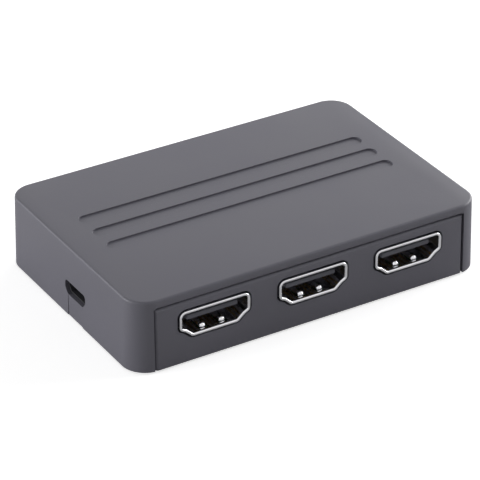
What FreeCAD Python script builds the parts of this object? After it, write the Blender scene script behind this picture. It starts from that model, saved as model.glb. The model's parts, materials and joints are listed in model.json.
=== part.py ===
import FreeCAD, Part
import math
import os
from dataclasses import dataclass

# A video switch box: three input sockets in the front panel, one output socket, a select
# button, three lamps and a remote receiver jack in the rear panel, and a power socket in
# the left wall. Lengths are in millimetres and angles in degrees.
# The origin lies on the surface that the box stands on, under its middle. X runs along the
# box, the three inputs face -Y, and +Z is up.

Vector = FreeCAD.Vector
UP = Vector(0, 0, 1)
ALONG_Y = Vector(0, 1, 0)

# Case
CASE_LENGTH = 77.4             # along X, at the foot of the walls
CASE_WIDTH = 51.6              # along Y, at the foot of the walls
CASE_HEIGHT = 15.0             # from the foot of the walls to the top
CORNER_RADIUS = 5.0            # upright corners, at their foot
TOP_EDGE_RADIUS = 0.5          # rounding where the walls meet the top
WALL_DRAFT = 0.3               # how far each wall leans in from its foot to the top
WALL_THICKNESS = 1.9           # at the foot
TOP_THICKNESS = 1.5
COLUMN_WIDTH = 4.3             # cover left standing at each end of a panel
BAND_HEIGHT = 1.9              # cover left above each panel

# Shallow grooves moulded into the top
GROOVE_COUNT = 3
GROOVE_END_MARGIN = 6.7        # from each end of the case
GROOVE_WIDTH = 3.0
GROOVE_PITCH = 5.6
GROOVE_DEPTH = 0.35
GROOVE_CENTRE_Y = 1.8

# Front and rear panels, each held behind the cover's columns by a lip at either end
PANEL_THICKNESS = 1.8          # at the foot
PANEL_RECESS = 0.1             # panel face behind the cover's face
PANEL_GAP = 0.25               # seam between a panel and the cover
PANEL_LIP_REACH = 1.0
PANEL_LIP_THICKNESS = 0.8
PANEL_HEEL_LENGTH = 54.0       # ledge that rests on the tray
PANEL_HEEL_REACH = 0.9
PANEL_HEEL_TO_BOARD = 0.5

# Base tray
TRAY_THICKNESS = 1.6
TRAY_GAP = 0.1                 # round the tray, inside the cover's walls
TRAY_RIB_THICKNESS = 0.8
TRAY_RIB_LENGTH = 26.0
TRAY_RIB_TO_BOARD = 0.3
TAB_RECESS = 0.12              # tray's tab under the power socket, behind the wall's face
SUPPORT_RADIUS = 1.6
SUPPORT_X = 10.0

# Feet
FOOT_RADIUS = 4.0
FOOT_THICKNESS = 1.0
FOOT_PROUD = 0.4               # how far the feet stand out of the tray
FOOT_SEAT_GAP = 0.1
FOOT_EDGE_RADIUS = 0.15
FOOT_INSET_X = 12.0            # from the cover's inner faces
FOOT_INSET_Y = 6.0

# Circuit board
BOARD_THICKNESS = 1.6
BOARD_STANDOFF = 1.5           # from the tray's floor to the board
BOARD_GAP = 0.3                # from the board's edge to the case
BOARD_SLOT_GAP = 0.12          # round each pin or leg in the board
PIN_PROUD = 0.6                # pins and legs below the board

# Screws, from below through the tray and the board into the cover's bosses
SCREW_RADIUS = 1.1
SCREW_LENGTH = 9.0
SCREW_HEAD_RADIUS = 2.0
SCREW_HEAD_HEIGHT = 1.2
SCREW_RECESS_WIDTH = 0.5
SCREW_RECESS_LENGTH = 2.2
SCREW_RECESS_DEPTH = 0.6
SCREW_INSET = 3.5              # from the case's inner faces
SCREW_SUNK = 0.1               # head below the tray's underside
SCREW_GAP = 0.3                # round the screw in the tray and the board
PILOT_GAP = 0.03
BOSS_RADIUS = 2.6
BOSS_WEB_THICKNESS = 1.0
BOSS_WEB_CLEARANCE = 1.0       # above the board
PILOT_EXTRA = 1.2              # pilot hole beyond the screw's tip

# Places of the sockets and of what the rear panel carries
PORT_END_DISTANCE = 17.2       # from the case's end to the middle of the outer socket
RIM_PROUD = 0.25               # video sockets, out of their panel
PORT_GAP = 0.3                 # round each video socket, in its panel
POWER_Y = -2.6
POWER_OPENING_GAP = 0.2        # round the power socket, in the wall
POWER_SLOT_WIDTH = 5.8
POWER_SLOT_GAP = 0.1
POWER_MOUTH_RECESS = 0.8       # socket's mouth behind the foot of the wall's face
JACK_END_DISTANCE = 12.7       # from the case's end to the jack's axis
JACK_TO_BUTTON = 10.5
BUTTON_TO_LAMPS = 14.5         # to the middle lamp
LAMP_PITCH = 4.5
LAMP_COUNT = 3

# Select button and its switch
CAP_RADIUS = 2.9
CAP_PROUD = 0.3
CAP_GAP = 0.15                 # round the cap, in the panel
CAP_EDGE_RADIUS = 0.3
CAP_FLANGE_RADIUS = 3.6
CAP_FLANGE_THICKNESS = 0.8
CAP_FLANGE_GAP = 0.05          # from the flange to the panel, at rest
CAP_SOCKET_DEPTH = 1.0
BUTTON_TRAVEL = 0.3
SWITCH_SIZE = 6.2
SWITCH_DEPTH = 3.2
SWITCH_CAVITY_RADIUS = 2.5
SWITCH_CAVITY_DEPTH = 1.6
SWITCH_SHEET = 0.3
SWITCH_TO_CAP = 0.5            # from the switch's steel face to the cap's flange
STEM_RADIUS = 1.7
STEM_GAP = 0.05
STEM_FLANGE_RADIUS = 2.2
STEM_FLANGE_THICKNESS = 0.7
STEM_NUB_RADIUS = 0.6
STEM_NUB_GAP = 0.05            # from the nub to the dome, fully pressed
DOME_RADIUS = 2.0
DOME_RISE = 0.3
DOME_THICKNESS = 0.1
SWITCH_PIN_WIDTH = 0.7
SWITCH_PIN_THICKNESS = 0.3
SWITCH_PIN_SPACING = 4.5

# Lamps
LAMP_RADIUS = 1.5
LAMP_LENGTH = 5.3
LAMP_FLANGE_RADIUS = 1.9
LAMP_FLANGE_THICKNESS = 1.0
LAMP_PROUD = 0.25
LAMP_GAP = 0.12
LAMP_HEIGHT = 3.3              # axis above the board
LEAD_SPACING = 2.54
LEAD_SIZE = 0.5
LEAD_RUN = 1.5                 # behind the lamp, before the lead bends down

# Remote receiver jack
JACK_WIDTH = 6.0
JACK_HEIGHT = 5.2
JACK_LENGTH = 14.0
JACK_BARREL_RADIUS = 2.6
JACK_BORE_RADIUS = 1.8
JACK_BACK_WALL = 0.8
JACK_GAP = 0.12                # round the barrel, in the panel
JACK_TO_PANEL = 0.05
JACK_LEAF_LENGTH = 3.2
JACK_LEAF_HEIGHT = 1.2
JACK_LEAF_THICKNESS = 0.25
JACK_LEAF_CLEAR = 0.08         # between a leaf and the bore
JACK_TAIL_WIDTH = 0.8
JACK_LEAF_SIDES = (-1, 1, -1)  # side of the bore for each leaf
JACK_LEAF_SHARES = (0.25, 0.5, 0.75)  # its place along the jack

# Parts soldered to the board. An x share is a share of the board's half-length.
SWITCH_CHIP_X_SHARE = 0.11
SWITCH_CHIP_Y = 1.5
SWITCH_CHIP_SIZE = 10.0
SWITCH_CHIP_HEIGHT = 1.4
CONTROL_CHIP_X_SHARE = -0.33
CONTROL_CHIP_Y = 2.5
CONTROL_CHIP_SIZE = (3.9, 9.9)
MEMORY_CHIP_X_SHARES = (0.47, 0.675, 0.88)
MEMORY_CHIP_SIZE = (3.9, 4.9)
SMALL_CHIP_HEIGHT = 1.5
REGULATOR_X_SHARE = -0.675
REGULATOR_TO_COUPLING = 5.8    # to the row of small capacitors
REGULATOR_SIZE = (6.5, 3.5)
REGULATOR_HEIGHT = 1.6
CHIP_LEAD_REACH = 1.1
CHIP_LEAD_FOOT = 0.6
CHIP_LEAD_THICKNESS = 0.15
CHIP_LEAD_HEIGHT = 0.7
FINE_PITCH = 0.8
FINE_LEAD_WIDTH = 0.35
COARSE_PITCH = 1.27
COARSE_LEAD_WIDTH = 0.42
REGULATOR_PITCH = 2.3
REGULATOR_LEAD_WIDTH = 0.7
REGULATOR_TAB_WIDTH = 3.0
CRYSTAL_X_SHARE = -0.33
CRYSTAL_Y = -6.5
CRYSTAL_SIZE = (11.0, 4.6)
CRYSTAL_HEIGHT = 3.4
CRYSTAL_EDGE_RADIUS = 0.5
CRYSTAL_PIN_SPACING = 4.9
CRYSTAL_PIN_RADIUS = 0.22
BULK_X_SHARE = -0.675
BULK_Y = 4.0
BULK_RADIUS = 2.5
BULK_HEIGHT = 5.2
BULK_BASE_SIZE = 5.3
BULK_BASE_HEIGHT = 0.8
BULK_EDGE_RADIUS = 0.4
COUPLING_GAP = 0.78            # small capacitors behind each video socket's contacts
COUPLING_PITCH = 2.0
COUPLING_COUNT = 4
CAPACITOR_SIZE = (0.8, 1.6, 0.8)
BUTTON_TO_RESISTORS = 8.0      # to the middle of the row of resistors
RESISTOR_ROW_INSET = 11.65     # from the board's rear edge
RESISTOR_PITCH = 1.6
RESISTOR_COUNT = 8
RESISTOR_SIZE = (0.6, 1.2, 0.4)

# Heights and faces that the values above fix
FLOOR_Z = FOOT_PROUD
TRAY_TOP_Z = FLOOR_Z + TRAY_THICKNESS
BOARD_BOTTOM_Z = TRAY_TOP_Z + BOARD_STANDOFF
BOARD_TOP_Z = BOARD_BOTTOM_Z + BOARD_THICKNESS
CASE_TOP_Z = FLOOR_Z + CASE_HEIGHT
CEILING_Z = CASE_TOP_Z - TOP_THICKNESS
OPENING_TOP_Z = CASE_TOP_Z - BAND_HEIGHT
PANEL_TOP_Z = OPENING_TOP_Z - PANEL_GAP
SEAT_Z = FLOOR_Z + SCREW_SUNK + SCREW_HEAD_HEIGHT
SCREW_TIP_Z = SEAT_Z + SCREW_LENGTH
LAMP_Z = BOARD_TOP_Z + LAMP_HEIGHT
JACK_Z = BOARD_TOP_Z + JACK_HEIGHT / 2
BUTTON_Z = BOARD_TOP_Z + SWITCH_SIZE / 2
INNER_HALF_LENGTH = CASE_LENGTH / 2 - WALL_THICKNESS
INNER_HALF_WIDTH = CASE_WIDTH / 2 - WALL_THICKNESS
INNER_RADIUS = CORNER_RADIUS - WALL_THICKNESS
OPENING_HALF_LENGTH = CASE_LENGTH / 2 - COLUMN_WIDTH
PANEL_BACK_Y = CASE_WIDTH / 2 - PANEL_RECESS - PANEL_THICKNESS
LIP_HALF_LENGTH = OPENING_HALF_LENGTH + PANEL_LIP_REACH
BOARD_HALF_LENGTH = INNER_HALF_LENGTH - BOARD_GAP
BOARD_HALF_WIDTH = PANEL_BACK_Y - BOARD_GAP
SCREW_X = INNER_HALF_LENGTH - SCREW_INSET
SCREW_Y = PANEL_BACK_Y - SCREW_INSET
FOOT_X = INNER_HALF_LENGTH - FOOT_INSET_X
FOOT_Y = INNER_HALF_WIDTH - FOOT_INSET_Y
SWITCH_FACE_Y = PANEL_BACK_Y - CAP_FLANGE_GAP - CAP_FLANGE_THICKNESS - SWITCH_TO_CAP
GROOVE_LENGTH = CASE_LENGTH - 2 * GROOVE_END_MARGIN
PORT_PITCH = CASE_LENGTH / 2 - PORT_END_DISTANCE
JACK_X = JACK_END_DISTANCE - CASE_LENGTH / 2
BUTTON_X = JACK_X + JACK_TO_BUTTON
LAMP_CENTRE_X = BUTTON_X + BUTTON_TO_LAMPS

# How far a cutting shape runs past the face that it cuts
OVERRUN = 1.0


def box_between(low, high):
    """Box from its low corner to its high corner."""
    return Part.makeBox(high[0] - low[0], high[1] - low[1], high[2] - low[2], Vector(*low))


def post(radius, x, y, low_z, high_z):
    """Upright cylinder between two heights."""
    return Part.makeCylinder(radius, high_z - low_z, Vector(x, y, low_z), UP)


def rod(radius, x, z, low_y, high_y):
    """Cylinder lying along Y between two places."""
    return Part.makeCylinder(radius, high_y - low_y, Vector(x, low_y, z), ALONG_Y)


def joined(shapes):
    """One solid fused from overlapping or touching solids."""
    return shapes[0].multiFuse(shapes[1:]).removeSplitter()


def four_corners(x, y):
    """The four places that mirror a place in the X and Y axes."""
    return [(side * x, end * y) for side in (-1, 1) for end in (-1, 1)]


def centred(count, pitch):
    """Evenly spaced values, centred on zero."""
    return [(index - (count - 1) / 2) * pitch for index in range(count)]


def rounded_wire(corners, radii):
    """Closed flat wire through corners, each rounded to its own radius by an arc."""
    edges = []
    ends = []
    for index, corner in enumerate(corners):
        to_last = (corners[index - 1] - corner).normalize()
        to_next = (corners[(index + 1) % len(corners)] - corner).normalize()
        half_angle = to_last.getAngle(to_next) / 2
        radius = radii[index]
        reach = radius / math.tan(half_angle)
        inward = (to_last + to_next).normalize()
        middle = corner + inward * (radius / math.sin(half_angle) - radius)
        start = corner + to_last * reach
        end = corner + to_next * reach
        edges.append(Part.Arc(start, middle, end).toShape())
        ends.append((start, end))
    for index in range(len(corners)):
        start = ends[index - 1][1]
        end = ends[index][0]
        edges.append(Part.LineSegment(start, end).toShape())
    return Part.Wire(Part.__sortEdges__(edges))


def rounded_rectangle(half_length, half_width, radius, z):
    """Level rectangle with round corners, centred on the origin."""
    corners = [
        Vector(half_length, -half_width, z),
        Vector(half_length, half_width, z),
        Vector(-half_length, half_width, z),
        Vector(-half_length, -half_width, z),
    ]
    return rounded_wire(corners, [radius] * 4)


def prism(wire, direction):
    """Solid swept by a flat wire along a direction."""
    return Part.Face(wire).extrude(direction)


def flat_prism(points, x_low, x_high):
    """Solid whose (y, z) outline runs along X between two places."""
    corners = [Vector(x_low, y, z) for y, z in points]
    wire = Part.makePolygon(corners + corners[:1])
    return prism(wire, Vector(x_high - x_low, 0, 0))


def edges_at(shape, axis, value):
    """Edges whose ends all lie at one value along an axis."""
    found = []
    for edge in shape.Edges:
        if all(abs(vertex.Point[axis] - value) < 1e-6 for vertex in edge.Vertexes):
            found.append(edge)
    return found


def turned(shape, angle):
    """Copy of a shape turned about the upright axis through the origin."""
    copy = shape.copy()
    copy.rotate(Vector(0, 0, 0), UP, angle)
    return copy


def panel_face_y(z):
    """Distance of a panel's leaning face from the middle of the box, at a height."""
    lean = WALL_DRAFT * (z - FLOOR_Z) / CASE_HEIGHT
    return CASE_WIDTH / 2 - PANEL_RECESS - lean


@dataclass
class Socket:
    """A board-mounted socket, drawn with its mouth at the origin and facing -Y.

    right_corners are the (x, z) corners of the right half of the cavity's outline, from the
    top down, and radii are their rounding. Heights are counted from the cavity's middle.
    """

    right_corners: list
    radii: list
    wall: float
    depth: float
    block: float               # depth of the insulator that closes the cavity
    block_gap: float
    foot: float                # insulator between the shell and the board
    foot_half_width: float
    tail_half_width: float
    tail_block: float          # insulator behind the shell
    tail_top: float
    tongue_half_width: float
    tongue_low: float
    tongue_high: float
    tongue_inset: float
    contact_heights: list      # one for each row
    contact_counts: list
    contact_pitch: float
    contact_width: float
    contact_thickness: float
    contact_inset: float
    contact_foot: float
    leg_places: list           # distance of each pair of legs behind the mouth
    leg_width: float
    leg_side: float            # height at which the legs leave the shell

    def cavity_height(self):
        """Height of the cavity."""
        return self.right_corners[0][1] - self.right_corners[-1][1]

    def board_z(self):
        """Height of the board's top face, below the cavity's middle."""
        return self.right_corners[-1][1] - self.wall - self.foot

    def total_depth(self):
        """Distance from the mouth to the ends of the contacts' solder feet."""
        return self.depth + self.tail_block + self.contact_foot

    def outer_half_width(self):
        """Half of the shell's width."""
        return self.right_corners[0][0] + self.wall

    def outline(self, growth):
        """Cavity's outline, grown outwards by a distance, in the plane of the mouth."""
        right = self.right_corners
        left = [(-x, z) for x, z in reversed(right)]
        corners = [Vector(x, 0, z) for x, z in right + left]
        wire = rounded_wire(corners, self.radii + self.radii[::-1])
        if growth:
            wire = wire.makeOffset2D(growth)
        return wire

    def solid(self, growth, start, end):
        """Solid of the grown outline between two depths."""
        shape = prism(self.outline(growth), ALONG_Y * (end - start))
        shape.translate(ALONG_Y * start)
        return shape

    def legs(self, growth):
        """Legs that hold the shell in the board, or the slots for them."""
        outer = self.outer_half_width()
        low = self.board_z() - BOARD_THICKNESS - PIN_PROUD - growth
        shapes = []
        for place in self.leg_places:
            for side in (-1, 1):
                ends = sorted((side * (outer - self.wall - growth), side * (outer + growth)))
                shapes.append(box_between(
                    (ends[0], place - self.leg_width / 2 - growth, low),
                    (ends[1], place + self.leg_width / 2 + growth, self.leg_side),
                ))
        return shapes

    def contacts(self):
        """Contact strips: along the tongue, down behind the insulator, and a solder foot."""
        back = self.depth + self.tail_block
        board = self.board_z()
        thick = self.contact_thickness
        strips = []
        for height, count in zip(self.contact_heights, self.contact_counts):
            outline = [
                (self.tongue_inset + self.contact_inset, height - thick / 2),
                (back, height - thick / 2),
                (back, board),
                (back + self.contact_foot, board),
                (back + self.contact_foot, board + thick),
                (back + thick, board + thick),
                (back + thick, height + thick / 2),
                (self.tongue_inset + self.contact_inset, height + thick / 2),
            ]
            for x in centred(count, self.contact_pitch):
                half = self.contact_width / 2
                strips.append(flat_prism(outline, x - half, x + half))
        return Part.makeCompound(strips)

    def insulator(self):
        """Moulded insulator: block, tongue, foot on the board and the back that holds the tails."""
        board = self.board_z()
        back = self.depth + self.tail_block
        under_shell = self.right_corners[-1][1] - self.wall
        pieces = [
            self.solid(-self.block_gap, self.depth - self.block, self.depth),
            box_between(
                (-self.tail_half_width, self.depth, board),
                (self.tail_half_width, back, self.tail_top),
            ),
            box_between(
                (-self.foot_half_width, self.depth - 2 * self.block, board),
                (self.foot_half_width, self.depth + self.tail_block / 2, under_shell),
            ),
            box_between(
                (-self.tongue_half_width, self.tongue_inset, self.tongue_low),
                (self.tongue_half_width, self.depth - self.block / 2, self.tongue_high),
            ),
        ]
        return joined(pieces).cut(self.contacts())

    def tube(self):
        """Plain shell with its legs."""
        outer = self.solid(self.wall, 0, self.depth)
        hollow = self.solid(0, -OVERRUN, self.depth + OVERRUN)
        return joined([outer] + self.legs(0)).cut(hollow)


VIDEO_WIDTH = 14.0             # cavity
VIDEO_HEIGHT = 4.55
VIDEO_SIDE = 2.85              # straight part of the cavity's side
VIDEO_STEP_IN = 0.95
VIDEO_STEP_DOWN = 0.5
VIDEO_FLAT = 9.4               # bottom of the cavity
VIDEO_TONGUE_TOP = 1.2         # above the cavity's middle
VIDEO_TONGUE_THICKNESS = 0.9
VIDEO = Socket(
    right_corners=[
        (VIDEO_WIDTH / 2, VIDEO_HEIGHT / 2),
        (VIDEO_WIDTH / 2, VIDEO_HEIGHT / 2 - VIDEO_SIDE),
        (VIDEO_WIDTH / 2 - VIDEO_STEP_IN, VIDEO_HEIGHT / 2 - VIDEO_SIDE - VIDEO_STEP_DOWN),
        (VIDEO_FLAT / 2, -VIDEO_HEIGHT / 2),
    ],
    radii=[0.75, 0.35, 0.3, 0.5],
    wall=0.5,
    depth=11.2,
    block=3.0,
    block_gap=0.03,
    foot=0.525,
    foot_half_width=4.2,
    tail_half_width=6.6,
    tail_block=1.6,
    tail_top=2.0,
    tongue_half_width=5.4,
    tongue_low=VIDEO_TONGUE_TOP - VIDEO_TONGUE_THICKNESS,
    tongue_high=VIDEO_TONGUE_TOP,
    tongue_inset=1.2,
    contact_heights=[VIDEO_TONGUE_TOP, VIDEO_TONGUE_TOP - VIDEO_TONGUE_THICKNESS],
    contact_counts=[10, 9],
    contact_pitch=1.0,
    contact_width=0.4,
    contact_thickness=0.2,
    contact_inset=0.6,
    contact_foot=0.9,
    leg_places=[3.8, 8.6],
    leg_width=1.8,
    leg_side=0.4,
)
FINGER_SPACING = 4.2           # spring fingers cut in the shell's top and bottom
FINGER_WIDTH = 1.3
FINGER_SLOT_GAP = 0.25
FINGER_START = 0.9
FINGER_ROOT = 6.2
FINGER_BUMP = 1.9              # depth of the bump behind the mouth
FINGER_RISE = 0.5              # bump into the cavity
FINGER_SHEET = 0.3

POWER_WIDTH = 6.9              # cavity
POWER_HEIGHT = 1.9
POWER_SIDE = 1.0
POWER_FLAT = 5.4
POWER_TONGUE_TOP = 0.6
POWER_TONGUE_THICKNESS = 0.6
POWER = Socket(
    right_corners=[
        (POWER_WIDTH / 2, POWER_HEIGHT / 2),
        (POWER_WIDTH / 2, POWER_HEIGHT / 2 - POWER_SIDE),
        (POWER_FLAT / 2, -POWER_HEIGHT / 2),
    ],
    radii=[0.3, 0.2, 0.3],
    wall=0.3,
    depth=6.0,
    block=1.4,
    block_gap=0.02,
    foot=0.05,
    foot_half_width=2.0,
    tail_half_width=2.2,
    tail_block=0.4,
    tail_top=0.8,
    tongue_half_width=1.9,
    tongue_low=POWER_TONGUE_TOP - POWER_TONGUE_THICKNESS,
    tongue_high=POWER_TONGUE_TOP,
    tongue_inset=0.5,
    contact_heights=[POWER_TONGUE_TOP - POWER_TONGUE_THICKNESS],
    contact_counts=[5],
    contact_pitch=0.65,
    contact_width=0.3,
    contact_thickness=0.15,
    contact_inset=0.3,
    contact_foot=0.7,
    leg_places=[2.6, 4.6],
    leg_width=1.0,
    leg_side=0.3,
)


def video_place(x, facing):
    """Mouth of a video socket: its x, its y and the turn that faces it out of a panel."""
    z = BOARD_TOP_Z - VIDEO.board_z()
    y = facing * (panel_face_y(z) + RIM_PROUD)
    return Vector(x, y, z), 0 if facing < 0 else 180


def power_place():
    """Mouth of the power socket, in the left wall's opening."""
    z = BOARD_TOP_Z - POWER.board_z()
    return Vector(POWER_MOUTH_RECESS - CASE_LENGTH / 2, POWER_Y, z), -90


INPUT_PLACES = [video_place(x, -1) for x in centred(3, PORT_PITCH)]
OUTPUT_PLACE = video_place(PORT_PITCH, 1)
POWER_PLACE = power_place()
COUPLING_ROW_Y = OUTPUT_PLACE[0].y - VIDEO.total_depth() - COUPLING_GAP - CAPACITOR_SIZE[1] / 2


def board_place(x_share, y):
    """Place on the board's top face."""
    return (x_share * BOARD_HALF_LENGTH, y)


SWITCH_CHIP_PLACE = board_place(SWITCH_CHIP_X_SHARE, SWITCH_CHIP_Y)
CONTROL_CHIP_PLACE = board_place(CONTROL_CHIP_X_SHARE, CONTROL_CHIP_Y)
MEMORY_CHIP_PLACES = [board_place(share, 0) for share in MEMORY_CHIP_X_SHARES]
REGULATOR_PLACE = board_place(REGULATOR_X_SHARE, REGULATOR_TO_COUPLING - COUPLING_ROW_Y)
CRYSTAL_PLACE = board_place(CRYSTAL_X_SHARE, CRYSTAL_Y)
BULK_PLACE = board_place(BULK_X_SHARE, BULK_Y)
RESISTOR_ROW_PLACE = (BUTTON_X + BUTTON_TO_RESISTORS, BOARD_HALF_WIDTH - RESISTOR_ROW_INSET)


def placed(shape, place):
    """Copy of a socket's shape, turned and moved to its place."""
    copy = turned(shape, place[1])
    copy.translate(place[0])
    return copy


def video_shell():
    """Steel shell of a video socket, with two spring fingers above and two below."""
    shell = VIDEO.tube()
    inner = VIDEO.right_corners[0][1]
    outer = inner + VIDEO.wall
    half = FINGER_WIDTH / 2
    for side in (-1, 1):
        for x in centred(2, FINGER_SPACING):
            heights = sorted((side * (inner - OVERRUN / 2), side * (outer + OVERRUN)))
            slot = box_between(
                (x - half - FINGER_SLOT_GAP, FINGER_START, heights[0]),
                (x + half + FINGER_SLOT_GAP, FINGER_ROOT, heights[1]),
            )
            root = inner + VIDEO.wall - FINGER_SHEET
            outline = [
                (FINGER_ROOT + FINGER_SHEET, side * (root + FINGER_SHEET)),
                (FINGER_BUMP, side * (inner - FINGER_RISE + FINGER_SHEET)),
                (FINGER_START + FINGER_SLOT_GAP, side * (inner + FINGER_SHEET / 2)),
                (FINGER_START + FINGER_SLOT_GAP, side * (inner - FINGER_SHEET / 2)),
                (FINGER_BUMP, side * (inner - FINGER_RISE)),
                (FINGER_ROOT + FINGER_SHEET, side * root),
            ]
            finger = flat_prism(outline, x - half, x + half)
            shell = joined([shell.cut(slot), finger])
    return shell


def case_block():
    """Outside of the cover: walls that lean in to a top with a rounded edge."""
    foot = rounded_rectangle(CASE_LENGTH / 2, CASE_WIDTH / 2, CORNER_RADIUS, FLOOR_Z)
    top = rounded_rectangle(
        CASE_LENGTH / 2 - WALL_DRAFT,
        CASE_WIDTH / 2 - WALL_DRAFT,
        CORNER_RADIUS - WALL_DRAFT,
        CASE_TOP_Z,
    )
    block = Part.makeLoft([foot, top], True, True)
    return block.makeFillet(TOP_EDGE_RADIUS, edges_at(block, 2, CASE_TOP_Z))


def panel_window():
    """Space for the front panel in the cover: the opening and the rebate for the lips."""
    opening = box_between(
        (-OPENING_HALF_LENGTH, -CASE_WIDTH / 2 - OVERRUN, FLOOR_Z - OVERRUN),
        (OPENING_HALF_LENGTH, OVERRUN - INNER_HALF_WIDTH, OPENING_TOP_Z),
    )
    reach = LIP_HALF_LENGTH + PANEL_GAP
    rebate = box_between(
        (-reach, -PANEL_BACK_Y - PANEL_LIP_THICKNESS - PANEL_GAP, FLOOR_Z - OVERRUN),
        (reach, OVERRUN - PANEL_BACK_Y, OPENING_TOP_Z),
    )
    return joined([opening, rebate])


def groove(y):
    """Cutter for one round-ended groove along the top."""
    low_z = CASE_TOP_Z - GROOVE_DEPTH
    end_x = GROOVE_LENGTH / 2 - GROOVE_WIDTH / 2
    return joined([
        box_between(
            (-end_x, y - GROOVE_WIDTH / 2, low_z),
            (end_x, y + GROOVE_WIDTH / 2, CASE_TOP_Z + OVERRUN),
        ),
        post(GROOVE_WIDTH / 2, -end_x, y, low_z, CASE_TOP_Z + OVERRUN),
        post(GROOVE_WIDTH / 2, end_x, y, low_z, CASE_TOP_Z + OVERRUN),
    ])


def power_window():
    """Plug opening in the left wall, and the slot below it that the tray's tab fills."""
    mouth, angle = POWER_PLACE
    through = POWER.solid(POWER.wall + POWER_OPENING_GAP, -2 * WALL_THICKNESS, WALL_THICKNESS)
    slot = box_between(
        (-CASE_LENGTH / 2 - OVERRUN, POWER_Y - POWER_SLOT_WIDTH / 2, FLOOR_Z - OVERRUN),
        (OVERRUN / 2 - INNER_HALF_LENGTH, POWER_Y + POWER_SLOT_WIDTH / 2, mouth.z),
    )
    return joined([placed(through, (mouth, angle)), slot])


def boss(x, y):
    """Screw boss under the cover's top, with a web to the nearer side wall."""
    side = math.copysign(1, x)
    web_ends = sorted((x, side * (INNER_HALF_LENGTH + WALL_THICKNESS / 4)))
    half = BOSS_WEB_THICKNESS / 2
    return joined([
        post(BOSS_RADIUS, x, y, BOARD_TOP_Z, CEILING_Z + TOP_THICKNESS / 4),
        box_between(
            (web_ends[0], y - half, BOARD_TOP_Z + BOSS_WEB_CLEARANCE),
            (web_ends[1], y + half, CEILING_Z + TOP_THICKNESS / 4),
        ),
    ])


def top_cover():
    """Top and side walls in one shell, with the bosses that take the screws."""
    inner = rounded_rectangle(INNER_HALF_LENGTH, INNER_HALF_WIDTH, INNER_RADIUS, FLOOR_Z - OVERRUN)
    hollow = prism(inner, UP * (CEILING_Z - FLOOR_Z + OVERRUN))
    cuts = [hollow, panel_window(), turned(panel_window(), 180), power_window()]
    cuts += [groove(GROOVE_CENTRE_Y + offset) for offset in centred(GROOVE_COUNT, GROOVE_PITCH)]
    shell = case_block().cut(cuts)
    bosses = [boss(x, y) for x, y in four_corners(SCREW_X, SCREW_Y)]
    pilots = []
    for x, y in four_corners(SCREW_X, SCREW_Y):
        tip = SCREW_TIP_Z + PILOT_EXTRA
        pilots.append(post(SCREW_RADIUS + PILOT_GAP, x, y, BOARD_TOP_Z - OVERRUN, tip))
    return joined([shell] + bosses).cut(pilots)


def panel_blank():
    """Front panel before its holes: leaning plate, lips behind the columns, and heel."""
    foot_y = -panel_face_y(FLOOR_Z)
    top_y = -panel_face_y(PANEL_TOP_Z)
    half = OPENING_HALF_LENGTH - PANEL_GAP
    plate = flat_prism(
        [
            (foot_y, FLOOR_Z),
            (-PANEL_BACK_Y, FLOOR_Z),
            (-PANEL_BACK_Y, PANEL_TOP_Z),
            (top_y, PANEL_TOP_Z),
        ],
        -half,
        half,
    )
    lips = box_between(
        (-LIP_HALF_LENGTH, -PANEL_BACK_Y - PANEL_LIP_THICKNESS, FLOOR_Z),
        (LIP_HALF_LENGTH, -PANEL_BACK_Y, PANEL_TOP_Z),
    )
    heel = box_between(
        (-PANEL_HEEL_LENGTH / 2, -PANEL_BACK_Y, TRAY_TOP_Z),
        (PANEL_HEEL_LENGTH / 2, PANEL_HEEL_REACH - PANEL_BACK_Y, BOARD_BOTTOM_Z - PANEL_HEEL_TO_BOARD),
    )
    return joined([plate, lips, heel])


def video_window(place):
    """Cutter for a video socket's opening in its panel."""
    window = VIDEO.solid(VIDEO.wall + PORT_GAP, -2 * PANEL_THICKNESS, 3 * PANEL_THICKNESS)
    return placed(window, place)


def front_panel():
    """Panel with the three input openings."""
    return panel_blank().cut([video_window(place) for place in INPUT_PLACES])


def rear_panel():
    """Panel with the output opening and the holes for the button, the lamps and the jack."""
    low = PANEL_BACK_Y - OVERRUN
    high = CASE_WIDTH / 2 + OVERRUN
    cuts = [
        video_window(OUTPUT_PLACE),
        rod(CAP_RADIUS + CAP_GAP, BUTTON_X, BUTTON_Z, low, high),
        rod(JACK_BARREL_RADIUS + JACK_GAP, JACK_X, JACK_Z, low, high),
    ]
    cuts += [rod(LAMP_RADIUS + LAMP_GAP, x, LAMP_Z, low, high) for x in lamp_places()]
    return turned(panel_blank(), 180).cut(cuts)


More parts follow.
